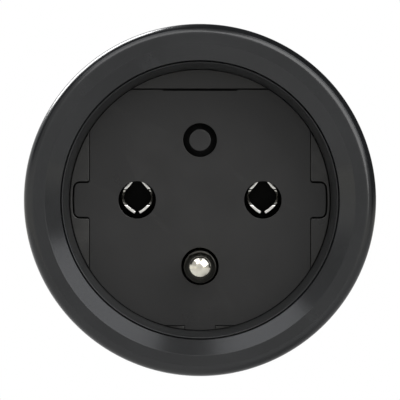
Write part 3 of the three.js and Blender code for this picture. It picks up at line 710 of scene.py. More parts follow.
def speckled_body(name, colour, fleck, roughness, scale=1800.0):
    """Ceramic, ferrite, resin or coating: flecks in a slightly uneven body."""
    material, nodes, surface = new_material(name)
    here = nodes.here()
    flecks = nodes.noise(here, scale, 6.0, 0.7)
    rubbed = nodes.effect(WEAR, Amount=0.5)["Mask"]
    body = nodes.blend(nodes.map(flecks, 0.5, 0.68, 0.0, 0.7), colour, fleck)
    gloss = nodes.swing(nodes.noise(here, 260.0, 2.0), roughness, 0.08)
    edged = nodes.blend(rubbed, body, lighter(colour, 1.5, 0.02))
    dress(nodes, surface, edged, gloss, flecks, 0.3, 0.00002)
    return material


SHELL_BLACK = moulded_plastic(
    "shell_black", grey(0.0115, 0.97, 1.02, 1.08), 0.16, wear=0.25, dust=0.06
)
LINER_BLACK = moulded_plastic("liner_black", grey(0.031, 0.97, 1.0, 1.03), 0.4)
FACE_BLACK = moulded_plastic(
    "face_black", grey(0.0084, 1.03, 1.0, 0.96), 0.32, 0.00022, wear=0.25, dust=0.04
)
CARRIER_BLACK = moulded_plastic(
    "carrier_black", grey(0.018, 1.03, 1.0, 0.92), 0.32, 0.00025
)
# Near black, painted as shade on the carrier faces that lie deep behind the plate's holes.
CAVITY_PAINTED_SHADE = moulded_plastic("cavity_painted_shade", grey(0.006), 0.7, 0.0003, wear=0.2)
BUTTON_BLACK = moulded_plastic("button_black", grey(0.008), 0.38, 0.00015, wear=0.6)
RELAY_PLASTIC = moulded_plastic("relay_plastic", (0.016, 0.02, 0.028), 0.34)
NYLON = moulded_plastic("bobbin_nylon", (0.62, 0.58, 0.48), 0.45, worn=1.2)
CHIP_RESIN = moulded_plastic("chip_resin", grey(0.018), 0.55, 0.0001, worn=2.0)
NICKEL = plated_metal("pin_nickel", (0.78, 0.75, 0.65), 0.1)
CLIP_TIN = clip_metal("clip_tin", (0.86, 0.85, 0.81))
TIN = plated_metal("wire_tin", (0.86, 0.85, 0.82), 0.22, 5000.0, 5000.0)
ZINC = plated_metal("screw_zinc", (0.56, 0.57, 0.6), 0.3, 3000.0, 3000.0)
IRON = plated_metal("relay_iron", grey(0.5), 0.36)
SILVER = plated_metal("contact_silver", (0.9, 0.89, 0.86), 0.2, 2500.0, 2500.0)
SPRING_STEEL = plated_metal("spring_steel", grey(0.6), 0.25)
COPPER = plated_metal(
    "winding_copper", (0.72, 0.3, 0.12), 0.3, 2000.0, 2000.0, (0.7, 0.5, 0.45)
)
SOLDER = plated_metal("solder", grey(0.7), 0.32, 2600.0, 2600.0)
LAMINATE = laminate("board_laminate")
CERAMIC = speckled_body("fuse_ceramic", (0.66, 0.62, 0.53), (0.5, 0.45, 0.36), 0.5)
FERRITE = speckled_body("choke_ferrite", (0.03, 0.028, 0.027), (0.09, 0.085, 0.08), 0.5)
SLEEVE = speckled_body(
    "capacitor_sleeve", (0.012, 0.022, 0.045), (0.02, 0.035, 0.07), 0.28, 900.0
)
FILM_YELLOW = speckled_body("film_box", (0.55, 0.4, 0.045), (0.5, 0.34, 0.03), 0.4, 1500.0)
VARISTOR_BLUE = speckled_body(
    "varistor_coat", (0.03, 0.12, 0.3), (0.05, 0.17, 0.38), 0.25, 700.0
)
LED_RESIN = speckled_body("led_resin", (0.8, 0.78, 0.68), (0.85, 0.82, 0.6), 0.2, 1400.0)


# ---------- repeating shapes

class Pattern(Nodes):
    """A geometry node tree with named inputs, which ends in Realize Instances and Set Material."""

    def __init__(self, name, **inputs):
        super().__init__(bpy.data.node_groups.new(name, "GeometryNodeTree"))
        self.ids = {}
        for label, kind in {"Geometry": "Geometry", **inputs, "Finish": "Material"}.items():
            made = self.tree.interface.new_socket(
                label.replace("_", " "), in_out="INPUT", socket_type=f"NodeSocket{kind}"
            )
            self.ids[label] = made.identifier
        self.tree.interface.new_socket("Geometry", in_out="OUTPUT", socket_type="NodeSocketGeometry")
        self.given = self.add("NodeGroupInput").outputs

    def shape(self, kind, **inputs):
        return self.add(f"GeometryNode{kind}", **inputs).outputs[0]

    def turn(self, geometry, **angles):
        return self.shape("Transform", Geometry=geometry, Rotation=self.xyz(**angles))

    def copies(self, points, original):
        return self.shape("InstanceOnPoints", Points=points, Instance=original)

    def finish(self, geometry):
        real = self.shape("RealizeInstances", Geometry=geometry)
        coated = self.shape("SetMaterial", Geometry=real, Material=self.given["Finish"])
        self.add("NodeGroupOutput", Geometry=coated)
        return self

    def grow(self, name, seed, finish, matrix=Matrix.Identity(4), **values):
        """Runs the tree on a seed object and keeps the result as one plain mesh."""
        modifier = seed.modifiers.new(name, "NODES")
        modifier.node_group = self.tree
        for label, value in {**values, "Finish": finish}.items():
            modifier[self.ids[label]] = value
        mesh = evaluated_mesh(seed)
        bpy.data.objects.remove(seed)
        mesh.transform(matrix)
        bm = bmesh.new()
        bm.from_mesh(mesh)
        bmesh.ops.recalc_face_normals(bm, faces=bm.faces)
        bm.to_mesh(mesh)
        bm.free()
        for polygon in mesh.polygons:
            polygon.use_smooth = True
        mesh.set_sharp_from_angle(angle=SHARP_CORNER)
        return link(name, mesh)


def ring_pattern():
    """Copies of one shape round a circle about the depth axis."""
    tree = Pattern("ring_of_copies", Count="Int", Circle_Radius="Float", First_Angle="Float")
    ring = tree.shape("MeshCircle", Vertices=tree.given["Count"], Radius=tree.given["Circle Radius"])
    places = tree.turn(tree.turn(ring, X=QUARTER_TURN), Y=tree.given["First Angle"])
    return tree.finish(tree.copies(places, tree.given["Geometry"]))


def row_pattern():
    """Copies of one shape along a straight line."""
    tree = Pattern("row_of_copies", Count="Int", Step="Vector")
    line = tree.shape("MeshLine", Count=tree.given["Count"], Offset=tree.given["Step"])
    return tree.finish(tree.copies(line, tree.given["Geometry"]))


def coil_pattern():
    """Round wire wound in a helix along the depth."""
    tree = Pattern(
        "wound_coil", Turns="Float", Coil_Radius="Float", Length="Float", Wire_Radius="Float",
        Steps="Int", Sides="Int",
    )
    radius = tree.given["Coil Radius"]
    helix = tree.shape(
        "CurveSpiral", Resolution=tree.given["Steps"], Rotations=tree.given["Turns"],
        Start_Radius=radius, End_Radius=radius, Height=tree.given["Length"],
    )
    wire = tree.shape(
        "CurvePrimitiveCircle", Resolution=tree.given["Sides"], Radius=tree.given["Wire Radius"]
    )
    tube = tree.shape("CurveToMesh", Curve=helix, Profile_Curve=wire, Fill_Caps=True)
    return tree.finish(tree.turn(tube, X=-QUARTER_TURN))


def solder_pattern():
    """A small cone of solder on every point of the seed."""
    tree = Pattern("solder_joints", Joint_Radius="Float", Joint_Height="Float")
    foot = tree.given["Joint Radius"]
    cone = tree.shape(
        "MeshCone", Vertices=16, Side_Segments=3, Radius_Top=tree.times(foot, 0.45),
        Radius_Bottom=foot, Depth=tree.given["Joint Height"],
    )
    return tree.finish(tree.copies(tree.given["Geometry"], tree.turn(cone, X=-QUARTER_TURN)))


def sweep_pattern():
    """A closed section swept in a full circle round the depth axis. The section stands on the
    circle, with its first axis outwards and its second axis to the front."""
    tree = Pattern("swept_section", Segments="Int", Path_Radius="Float")
    path = tree.shape(
        "CurvePrimitiveCircle", Resolution=tree.given["Segments"], Radius=tree.given["Path Radius"]
    )
    section = tree.shape("MeshToCurve", Mesh=tree.given["Geometry"])
    ring = tree.shape("CurveToMesh", Curve=path, Profile_Curve=section)
    return tree.finish(tree.turn(ring, X=-QUARTER_TURN))


RING = ring_pattern()
ROW = row_pattern()
SWEEP = sweep_pattern()
COIL = coil_pattern()
JOINTS = solder_pattern()


def swept(name, corners, finish, steps=6, segments=256):
    """A ring about the depth axis, swept from a loop of (radius, depth, fillet) corners."""
    loop = rounded(corners, steps, True)
    points = [((radius - BODY_RADIUS) * MM, -place(0, depth, 0).y, 0) for radius, depth in loop]
    edges = [(i, (i + 1) % len(points)) for i in range(len(points))]
    section = loose_mesh("section", points, edges)
    return SWEEP.grow(name, section, finish, Segments=segments, Path_Radius=BODY_RADIUS * MM)


def coil(name, finish, centre, start, end, radius, wire, turns, steps=28, sides=10):
    """Wire wound from one depth to another. Steps are for each turn, and sides round the wire."""
    return COIL.grow(
        name, loose_mesh("seed", [place(0, 0, 0)]), finish,
        Matrix.Translation(place(centre[0], start, centre[1])),
        Turns=float(turns), Coil_Radius=radius * MM, Length=(end - start) * MM,
        Wire_Radius=wire * MM, Steps=steps, Sides=sides,
    )


def settle(piece, finish, *nodes, body="housing", slot=None):
    """Gives a piece its finish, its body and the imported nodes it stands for."""
    piece.data.materials.clear()
    piece.data.materials.append(finish)
    if nodes:
        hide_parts(*nodes)
    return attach(piece, body)


# ---------- camera and light

CAMERA_DISTANCE = 1.0
SEEN_WIDTH = 0.0594
SENSOR_WIDTH = 36.0
LAMP_DISTANCE = 0.9
FLOOR_HEIGHT = -0.085

COOL = (0.97, 0.99, 1.04)
WHITE = (1.0, 1.0, 1.0)

# Soft boxes: clock angle and angle off the line of sight in degrees, width and height in metres,
# power in watts, and colour.
SOFT_BOXES = {
    "upper_left_box": (-20, 39, 0.46, 0.36, 1.3, WHITE),
    "upper_right_box": (46, 36, 0.72, 0.48, 3.6, WHITE),
    "left_fringe": (-25, 60, 0.52, 0.2, 0.55, COOL),
    "right_fringe": (45, 60, 0.84, 0.2, 0.9, COOL),
    "left_rim_box": (-36, 119, 0.62, 0.45, 13.0, WHITE),
}


def make_camera():
    """Looks straight into the socket from a metre away, so the rounds stay round."""
    data = bpy.data.cameras.new("camera")
    data.sensor_width = SENSOR_WIDTH
    data.lens = SENSOR_WIDTH * CAMERA_DISTANCE / SEEN_WIDTH
    data.clip_start, data.clip_end = 0.01, 20.0
    camera = link("camera", data)
    camera.location = (0.0, place(0, 0, 0).y - CAMERA_DISTANCE, 0.0)
    camera.rotation_euler = (QUARTER_TURN, 0.0, 0.0)
    bpy.context.scene.camera = camera


def soft_box(name, clock, off_axis, width, height, power, colour):
    """A soft light aimed at the plug. Clock is degrees clockwise from the top as seen from the
    front, and off_axis is degrees away from the line of sight. The height runs outwards."""
    data = bpy.data.lights.new(name, "AREA")
    data.shape = "RECTANGLE"
    data.size, data.size_y = width, height
    data.energy = power
    data.color = colour
    turn, lean = math.radians(clock), math.radians(off_axis)
    spoke = Vector((math.sin(turn), 0.0, math.cos(turn)))
    sight = Vector((0.0, -1.0, 0.0))
    away = spoke * math.sin(lean) + sight * math.cos(lean)
    outward = spoke * math.cos(lean) - sight * math.sin(lean)
    light = link(name, data)
    light.location = place(0, 8, 0) + away * LAMP_DISTANCE
    light.rotation_euler = Matrix((outward.cross(away), outward, away)).transposed().to_euler()
    light.visible_camera = False


def towards_clock(nodes, sideways, clock, full, none):
    """One where a sideways direction is within some degrees of a clock angle, fading to zero."""
    clock, full, none = (math.radians(angle) for angle in (clock, full, none))
    towards = nodes.vectors("DOT_PRODUCT", sideways, (math.sin(clock), 0.0, math.cos(clock)), "Value")
    return nodes.map(towards, math.cos(none), math.cos(full))


def off_axis_band(nodes, off_axis, *degrees):
    """One between two angles away from the line of sight, with soft borders."""
    start, full_start, full_end, end = (math.radians(angle) for angle in degrees)
    rise = nodes.map(off_axis, start, full_start)
    return nodes.times(rise, nodes.map(off_axis, full_end, end, 1.0, 0.0))


def make_world():
    """A pale studio, slightly warm below, with dark screens beside the plug, above and to the right."""
    world = bpy.data.worlds.new("studio")
    bpy.context.scene.world = world
    world.use_nodes = True
    world.node_tree.nodes.clear()
    nodes = Nodes(world.node_tree)
    direction = nodes.add("ShaderNodeTexCoord").outputs["Generated"]
    parts = nodes.add("ShaderNodeSeparateXYZ", Vector=direction).outputs
    off_axis = nodes.math("ARCCOSINE", nodes.times(parts["Y"], -1.0))
    across = nodes.xyz(X=parts["X"], Z=parts["Z"])
    sideways = nodes.add("ShaderNodeVectorMath", {"operation": "NORMALIZE"}, Vector=across).outputs[0]
    high_side = towards_clock(nodes, sideways, 10, 82, 92)
    right_side = towards_clock(nodes, sideways, 42, 44, 58)
    beside = nodes.times(high_side, off_axis_band(nodes, off_axis, 62, 68, 90, 100))
    behind = nodes.times(right_side, off_axis_band(nodes, off_axis, 62, 68, 150, 165))
    between = nodes.times(high_side, off_axis_band(nodes, off_axis, 26, 36, 62, 70))
    sides = nodes.blend(nodes.map(parts["Z"], -0.3, 0.3), (1.0, 0.98, 0.89), (0.8, 0.81, 0.83))
    outward = nodes.map(off_axis, math.radians(12), math.radians(28))
    walls = nodes.blend(outward, grey(0.66), sides)
    dimmed = nodes.blend(between, walls, grey(0.48))
    shade = nodes.blend(nodes.math("MAXIMUM", beside, behind), dimmed, (0.03, 0.03, 0.032))
    lit = nodes.add("ShaderNodeBackground", Color=shade, Strength=1.0)
    seen = nodes.add("ShaderNodeBackground", Color=WHITE, Strength=1.0)
    camera_ray = nodes.add("ShaderNodeLightPath").outputs["Is Camera Ray"]
    choice = nodes.numbered(
        "ShaderNodeMixShader", None, {0: camera_ray, 1: lit.outputs[0], 2: seen.outputs[0]}
    )
    nodes.add("ShaderNodeOutputWorld", Surface=choice)


def make_floor():
    """A plain pale floor, well below the plug and out of the straight front view."""
    bm = bmesh.new()
    bmesh.ops.create_circle(bm, cap_ends=True, segments=96, radius=0.55)
    floor = link("floor", mesh_of("floor", bm))
    floor.location = (0.0, 0.1, FLOOR_HEIGHT)
    material, nodes, surface = new_material("pale_floor")
    cloud = nodes.noise(nodes.here(), 12.0, 3.0)
    nodes.set(surface, "Base Color", nodes.blend(cloud, (0.46, 0.46, 0.455), grey(0.5)))
    nodes.set(surface, "Roughness", 0.7)
    floor.data.materials.append(material)


bpy.context.scene.view_settings.view_transform = "Standard"
make_camera()
make_world()
for box_name, box_values in SOFT_BOXES.items():
    soft_box(box_name, *box_values)
make_floor()


# ---------- front ring, recess and floor

HOUSING_SCREWS = around(HOUSING_SCREW_CIRCLE, CORNER_ANGLES)
CARRIER_SCREWS = around(CARRIER_SCREW_CIRCLE, AXIS_ANGLES)


def sleeves(name, places, bore, radius, front, back, fillet, segments):
    """Short tubes along the depth, one for each screw."""
    bm = bmesh.new()
    loop = rounded([
        (radius, front, fillet), (bore, front, 0.1), (bore, back, 0.1), (radius, back, 0.1),
    ], 3, True)
    for centre in places:
        turn_into(bm, loop, segments, centre)
    return new_piece(name, bm)


def front_shell():
    ring = swept("shell_ring", [
        (BODY_RADIUS, 0, EDGE_ROUNDING), (RING_INNER_FLAT, 0, 0.1),
        (RING_INNER_EDGE, RING_BEVEL_DEPTH, 0.1), (RING_INNER_EDGE, RING_THICKNESS, 0.06),
        (SHELL_BORE, RING_THICKNESS, 0), (SHELL_BORE, SHELL_BACK, 0.1), (BODY_RADIUS, SHELL_BACK, 0.22),
    ], SHELL_BLACK, 8)
    bosses = sleeves("shell_bosses", HOUSING_SCREWS, 1.2, 2.5, 21.8, SHELL_BACK, 0.2, 32)
    settle(joined("plug_shell", ring, bosses), SHELL_BLACK, "front_shell")


def recess_liner():
    wall = swept("recess_wall", [
        (RECESS_LIP_RADIUS, RECESS_LIP_DEPTH, 0.08), (RECESS_FOOT_RADIUS, RECESS_DEPTH, 0),
        (RECESS_FOOT_RADIUS, LINER_END_DEPTH, 0.1), (21.2, LINER_END_DEPTH, 0.1),
        (22, LINER_FLANGE_BACK, 0.2), (LINER_FLANGE_RADIUS, LINER_FLANGE_BACK, 0.1),
        (LINER_FLANGE_RADIUS, LINER_FLANGE_FRONT, 0.1),
        (RECESS_LIP_RADIUS + 0.45, LINER_FLANGE_FRONT, 0), (RECESS_LIP_RADIUS + 0.25, 3.7, 0),
    ], LINER_BLACK)
    bosses = sleeves("recess_bosses", CARRIER_SCREWS, 0.85, 1.55, 10, LINER_END_DEPTH, 0.4, 28)
    settle(joined("socket_recess", wall, bosses), LINER_BLACK, "recess_liner")


def face_outline():
    """The keyed edge of the floor plate: flats, round corners, side tabs and a bottom key."""
    tab_turn = math.asin(TAB_HALF_HEIGHT / TAB_RADIUS)
    side_turn = math.acos(FACE_HALF_WIDTH / FACE_RADIUS)
    bottom_turn = math.acos(-FACE_BOTTOM / FACE_RADIUS)
    key_turn = math.asin(KEY_HALF_WIDTH / FACE_RADIUS)
    tab_root = TAB_RADIUS * math.cos(tab_turn)
    key_root = FACE_RADIUS * math.sin(key_turn)
    down = 1.5 * math.pi
    tab = [(FACE_HALF_WIDTH, -TAB_HALF_HEIGHT, 0.45), (tab_root, -TAB_HALF_HEIGHT, 0.75)]
    tab += as_corners(arc_points(TAB_RADIUS, -tab_turn * 0.6, tab_turn * 0.6, 6))
    tab += [(tab_root, TAB_HALF_HEIGHT, 0.75), (FACE_HALF_WIDTH, TAB_HALF_HEIGHT, 0.45)]
    upper = as_corners(arc_points(FACE_RADIUS, side_turn, QUARTER_TURN - side_turn, 14))
    slot = [
        (TOP_SLOT_HALF_WIDTH + 0.05, FACE_TOP, 0), (TOP_SLOT_HALF_WIDTH, FACE_TOP - TOP_SLOT_DEPTH, 0),
    ]
    lower = as_corners(arc_points(FACE_RADIUS, math.pi + side_turn, down - bottom_turn, 14))
    key = as_corners(arc_points(FACE_RADIUS, down - key_turn, down + key_turn, 6))
    key = [(-key_root, FACE_BOTTOM, 0)] + key + [(key_root, FACE_BOTTOM, 0)]
    return rounded(
        tab + upper + slot + mirrored(slot) + mirrored(upper) + mirrored(tab)
        + lower + key + mirrored(lower)
    )


def floor_plate():
    holes = [circle(CONTACT_HOLE, (side * PIN_OFFSET, 0), 96) for side in (-1, 1)]
    holes += [circle(EARTH_HOLE, EARTH, 96), circle(BUTTON_HOLE, BUTTON, 96)]
    plate = slab("recess_floor", face_outline(), holes, RECESS_DEPTH, FACE_BACK_DEPTH, 0.05, margin=0.05)
    settle(plate, FACE_BLACK, "socket_face")


def side_rim():
    """Corners of the segment to the right of the plate, with the notch that its tab sits in."""
    flat = FACE_HALF_WIDTH + SIDE_GAP
    turn = math.acos(flat / FACE_RADIUS)
    radius = TAB_RADIUS + TAB_GAP
    height = TAB_HALF_HEIGHT + TAB_GAP
    notch_turn = math.asin(height / radius)
    notch_root = radius * math.cos(notch_turn)
    corners = as_corners(arc_points(FACE_RADIUS, -turn, turn, 40))
    corners += [(flat, height, 0.3), (notch_root, height, 1)]
    corners += as_corners(arc_points(radius, notch_turn * 0.55, -notch_turn * 0.55, 6))
    corners += [(notch_root, -height, 1), (flat, -height, 0.3)]
    return corners


def end_rims(bm):
    """The thin segments above the plate and on both sides of its bottom key."""
    top_turn = math.asin((FACE_TOP + 0.17) / FACE_RADIUS)
    outline = arc_points(FACE_RADIUS, top_turn, math.pi - top_turn, 40)
    slab_into(bm, outline, [], RECESS_DEPTH, POCKET_DEPTH, 0.03, margin=0.04)
    bottom = -FACE_BOTTOM + 0.1
    key_edge = KEY_HALF_WIDTH + KEY_GAP
    arc = arc_points(FACE_RADIUS, -math.asin(bottom / FACE_RADIUS), -math.acos(key_edge / FACE_RADIUS), 10)
    for side in (-1, 1):
        outline = [(side * x, z) for x, z in arc + [(key_edge, -bottom)]]
        slab_into(bm, anticlockwise(outline), [], RECESS_DEPTH, POCKET_DEPTH, 0.04)


def contact_carrier():
    bm = bmesh.new()
    for corners in (side_rim(), mirrored(side_rim())):
        slab_into(bm, rounded(corners), [], RECESS_DEPTH, POCKET_DEPTH, 0.11, margin=0.05)
    end_rims(bm)
    sides = (-PIN_OFFSET, PIN_OFFSET)
    cavities = [box_outline(x - 3.1, x + 3.1, -2.95, 4.6, 0.4) for x in sides]
    cavities.append(circle(2.85, EARTH, 48))
    wells = cavities + [circle(3.3, BUTTON, 64)]
    floor_back, flange_back = CARRIER_FLOOR_BACK, CARRIER_FLANGE_BACK
    slab_into(bm, circle(FACE_RADIUS, segments=160), wells, POCKET_DEPTH, floor_back, 0.05)
    flange = circle(CARRIER_RADIUS, segments=160)
    slab_into(bm, flange, wells, floor_back - OVERLAP, flange_back, 0.15, 0.15)
    for centre in CARRIER_SCREWS:
        boss, hole = circle(1.9, centre, 32), circle(0.95, centre, 24)
        slab_into(bm, boss, [hole], floor_back - 0.03, flange_back - 0.02, 0.1, 0.1)
    half = [(9, -14, 0.8), (15, -6, 0.8), (15, 5.3, 0.8)]
    body = rounded(mirrored(half) + half, 4)
    slab_into(bm, body, cavities, flange_back - 2 * OVERLAP, CARRIER_BODY_BACK, 0.05, 0.1)
    tails = [box_outline(x - 0.9, x + 0.9, 3.2, 4.2, 0.2) for x in sides]
    holes = tails + [circle(2.5, EARTH, 48)]
    slab_into(bm, body, holes, CARRIER_BODY_BACK - OVERLAP, CARRIER_END, 0.05, 0.2)
    carrier = settle(new_piece("socket_carrier", bm), CARRIER_BLACK, "contact_carrier")
    # Faces at and behind the pocket floor get a near-black finish: painted shade for the hollows seen through
    # the plate's holes.
    carrier.data.materials.append(CAVITY_PAINTED_SHADE)
    shade_from_depth = place(0, POCKET_DEPTH - 0.1, 0).y
    for polygon in carrier.data.polygons:
        if polygon.center.y > shade_from_depth:
            polygon.material_index = 1


front_shell()
recess_liner()
floor_plate()
contact_carrier()


# ---------- button and switch

SWITCH_FRONT = 21.6


def button_cap():
    cap = turned("push_button", [
        (0, 17.05, 0), (1.7, 17.05, 0.16), (1.7, 19.15, 0.05), (3, 19.75, 0.05),
        (3, 20, 0.05), (1, 20, 0.08), (1, 20.75, 0.15), (0, 20.75, 0),
    ], 96, BUTTON)
    settle(cap, BUTTON_BLACK, "button_cap", body="button")


def button_spring():
    spring = coil("button_return_spring", SPRING_STEEL, BUTTON, 20.2, 21.4, 1.75, 0.15, 3, 40)
    settle(spring, SPRING_STEEL, "button_spring")
    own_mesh(spring)


def tactile_switch():
    bm = bmesh.new()
    outline = box_outline(-2.3, 2.3, BUTTON_HEIGHT - 2.3, BUTTON_HEIGHT + 2.3, 0.35)
    slab_into(bm, outline, [circle(0.95, BUTTON, 32)], SWITCH_FRONT, 22.1, 0.08)
    slab_into(bm, outline, [circle(1.6, BUTTON, 32)], 22.12, 23.2, 0.05)
    rivet = rounded(rod(0.25, 21.45, 21.62, 0.08), 3, True)
    for x in (-1.9, 1.9):
        for z in (-1.9, 1.9):
            turn_into(bm, rivet, 16, (x, BUTTON_HEIGHT + z))
    settle(new_piece("tactile_switch", bm), CHIP_RESIN, "switch_body")
    plunger = turned("switch_button", rod(0.85, 20.8, 21.85, 0.12, 0.05), 40, BUTTON)
    settle(plunger, NYLON, "switch_plunger", body="plunger")


button_cap()
button_spring()
tactile_switch()


# ---------- contacts and pins

def pin_dome(tip, way):
    """The round end of a pin. Way is 1 for a tip in front and -1 for a tip behind."""
    angles = [QUARTER_TURN * k / PIN_TIP_STEPS for k in range(PIN_TIP_STEPS + 1)]
    return [
        (PIN_RADIUS * math.sin(angle), tip + way * PIN_RADIUS * (1 - math.cos(angle))) for angle in angles
    ]


def contact_clip(side, name):
    """Two springy leaves, joined above the pin, whose lips are cut back where they are widest."""
    leaf = smooth_line(LEAF, 6)
    line = leaf + [(-x, z) for x, z in reversed(leaf)]
    centre = side * PIN_OFFSET
    outline = [(centre + x, z) for x, z in strip_outline(line, LEAF_THICKNESS)]
    bm = bmesh.new()
    slab_into(bm, outline, [], 19.6, 27.4, 0.05, 0.08)
    for vert in bm.verts:
        depth = vert.co.y / MM + NOSE_FACE_DEPTH
        nearness = 1.0 - abs(vert.co.z / MM - LIP_CUT_HEIGHT) / LIP_CUT_SPREAD
        if depth < LIP_CUT_END and nearness > 0:
            vert.co.y += LIP_CUT_BACK * MM * nearness ** 1.5
    block_into(bm, (centre - 0.5, 27.3, 3.5), (centre + 0.5, BOARD_BACK, 3.9), 0.05, 2)
    settle(new_piece(f"socket_clip_{name}", bm), CLIP_TIN, f"contact_clip_{name}")


def plug_pin(side, name):
    loop = pin_dome(NOSE_FACE_DEPTH + PIN_LENGTH, -1) + rounded([
        (PIN_RADIUS, 50.6, 0), (3.4, 50.6, 0.15), (3.4, 48.6, 0.15), (2, 48.6, 0.1),
        (2, 33.8, 0.15), (1, 33.8, 0), (1, 31.2, 0.2),
    ], 4, True) + [(0, 31.2)]
    pin = built(f"mains_pin_{name}", turn_into, loop, 96, (side * PIN_OFFSET, 0))
    settle(pin, NICKEL, f"plug_pin_{name}")


def earth_pin():
    loop = pin_dome(RECESS_LIP_DEPTH, 1) + rounded([
        (PIN_RADIUS, 29.6, 0.1), (4, 29.6, 0.15), (4, 31, 0.15), (1.75, 31, 0.1), (1.75, 34.8, 0.2),
    ], 4, True) + [(0, 34.8)]
    settle(built("socket_earth_pin", turn_into, loop, 96, EARTH), NICKEL, "earth_pin")


def earth_sleeve():
    sleeve = turned("plug_earth_sleeve", [
        (0, 34.85, 0), (3.4, 34.85, 0.25), (3.4, 49.85, 0.12), (2.5, 49.85, 0.2),
        (2.5, 37, 0.4), (0, 37, 0),
    ], 64, EARTH)
    settle(sleeve, TIN, "earth_sleeve")


def earth_yoke():
    """One bent strip: a bar across the nose, and a bowed spring arm above and below."""
    bm = bmesh.new()
    bar = box_outline(-4, 4, -17.9, 17.9, 0.3)
    slab_into(bm, bar, [circle(2.9, EARTH, 48)], 49.9, 50.7, 0.08, 0.08)
    outline = strip_outline(smooth_line([
        (50.3, 17.75), (50.05, 18.15), (48.6, 18.28), (44.5, 18.66), (40, 18.28), (38.3, 17.95),
    ]), 0.4)
    eased = shifted(outline, 0.12)
    half_width, steps = 3.8, 14
    for side in (-1, 1):
        strip_into(bm, [
            [
                (half_width * (2 * k / steps - 1), depth, side * z)
                for depth, z in (eased if k in (0, steps) else outline)
            ]
            for k in range(steps + 1)
        ])
    settle(new_piece("side_earth_strip", bm), NICKEL, "earth_yoke")


for pin_side, pin_name in ((-1, "left"), (1, "right")):
    contact_clip(pin_side, pin_name)
    plug_pin(pin_side, pin_name)
earth_pin()
earth_sleeve()
earth_yoke()


# ---------- back housing and its screws

def cavity_outline():
    """The hollow of the nose: round, but flat beside the guide slots and the earth grooves."""
    side, level = 15.2, 16.2
    half_side, half_level = 4.4, 5.5
    start = math.asin(half_side / NOSE_CAVITY_RADIUS)
    end = math.acos(half_level / NOSE_CAVITY_RADIUS)
    arc = as_corners(arc_points(NOSE_CAVITY_RADIUS, start, end, 16))
    quarter = [(side, half_side, 0.5)] + arc + [(half_level, level, 0.5)]
    upper = quarter + mirrored(quarter)
    return rounded(upper + [(-x, -z, fillet) for x, z, fillet in upper], 4)


def drill(radius, front, back, centre, segments=48):
    """A cutter for a round hole along the depth."""
    return turned("cutter", rod(radius, front, back), segments, centre, 1)


def nose_cutters(side, beyond):
    """The guide slot and pin hole on one side of the nose, and the earth groove above or below."""
    skin, outside = side * (NOSE_RADIUS - 1), side * (NOSE_RADIUS + 1)
    low, high = sorted((side * (NOSE_RADIUS - 1.9), outside))
    guide = block("cutter", (low, 37.5, -2.8), (high, beyond, 2.8), 0.4)
    low, high = sorted((skin, outside))
    groove = block("cutter", (-4.2, 37.5, low), (4.2, 50.9, high), 0.25)
    low, high = sorted((side * 15, outside))
    slot = block("cutter", (-4.15, 49.75, low), (4.15, 50.85, high), 0.05, 1)
    return [guide, groove, slot, drill(PIN_RADIUS + 0.05, 49, beyond, (side * PIN_OFFSET, 0), 64)]


def rear_shell():
    inner = SHOULDER_DEPTH - SHOULDER_WALL
    beyond = NOSE_FACE_DEPTH + 1.0
    shell = turned("plug_back", [
        (0, inner, 0), (22.3, inner, 0.2), (22.3, 21.45, 0.15), (23.8, 21.45, 0.15),
        (23.8, SEAM_DEPTH, 0.1), (BODY_RADIUS, SEAM_DEPTH, 0.22), (BODY_RADIUS, SHOULDER_DEPTH, 0.8),
        (NOSE_RADIUS, SHOULDER_DEPTH, 0.3), (NOSE_RADIUS, NOSE_FACE_DEPTH, 0.9), (0, NOSE_FACE_DEPTH, 0),
    ], 192, steps=5)
    cutters = [slab("cutter", cavity_outline(), [], inner - 1, NOSE_FACE_DEPTH - NOSE_WALL, 0.3, 0.3)]
    cutters += nose_cutters(-1, beyond) + nose_cutters(1, beyond)
    cutters.append(drill(EARTH_HOLE, 49, beyond, EARTH, 64))
    for centre in HOUSING_SCREWS:
        cutters.append(drill(2.3, SHOULDER_DEPTH - 1.35, SHOULDER_DEPTH + 1, centre))
        cutters.append(drill(1.25, SEAM_DEPTH - 1, SHOULDER_DEPTH, centre))
        cutters.append(drill(3.2, 20, SEAM_DEPTH + 0.05, centre))
    cutters += [drill(2.3, 20, 23.8, centre) for centre in CARRIER_SCREWS]
    cut(shell, *cutters)
    ease_edges(shell, 0.16, 50)
    settle(shell, SHELL_BLACK, "rear_shell")


def cross_screw(head_radius, head_front, head_back, thread_radius, tip):
    """A pan-head screw that points to the front, with a cross recess and a raised thread."""
    core, pitch = thread_radius * 0.86, thread_radius * 0.62
    taper = tip + thread_radius
    body = turned("screw", [
        (0, tip, 0), (thread_radius * 0.35, tip, 0), (core, taper, 0.05), (core, head_front, 0.05),
        (head_radius, head_front, 0.08), (head_radius, head_back, 0.32), (0, head_back, 0),
    ], 40, steps=4)
    arm, half = head_radius * 0.55, head_radius * 0.13
    bottom, top = head_back - 0.7, head_back + 1.0
    cut(
        body,
        block("cutter", (-arm, bottom, -half), (arm, top, half), 0.05, 1),
        block("cutter", (-half, bottom, -arm), (half, top, arm), 0.05, 1),
    )
    end = head_front - 1.0
    thread = coil("thread", ZINC, (0, 0), taper, end, core, pitch * 0.22, (end - taper) / pitch, 16, 6)
    return joined("screw", body, thread)


def screws():
    """The four that close the housing and the four that hold the carrier."""
    for kind, screw, circle_radius, first_angle in (
        ("housing_screw", cross_screw(2.1, 34.65, 35.9, 1.1, 26), HOUSING_SCREW_CIRCLE, CORNER_ANGLES[0]),
        ("carrier_screw", cross_screw(1.4, 21.45, 22.7, 0.75, 13), CARRIER_SCREW_CIRCLE, AXIS_ANGLES[0]),
    ):
        ring = RING.grow(
            f"{kind}s", screw, ZINC,
            Count=4, Circle_Radius=circle_radius * MM, First_Angle=math.radians(first_angle),
        )
        settle(ring, ZINC, *[f"{kind}_{i}" for i in range(1, 5)])


rear_shell()
screws()


# ---------- circuit boards

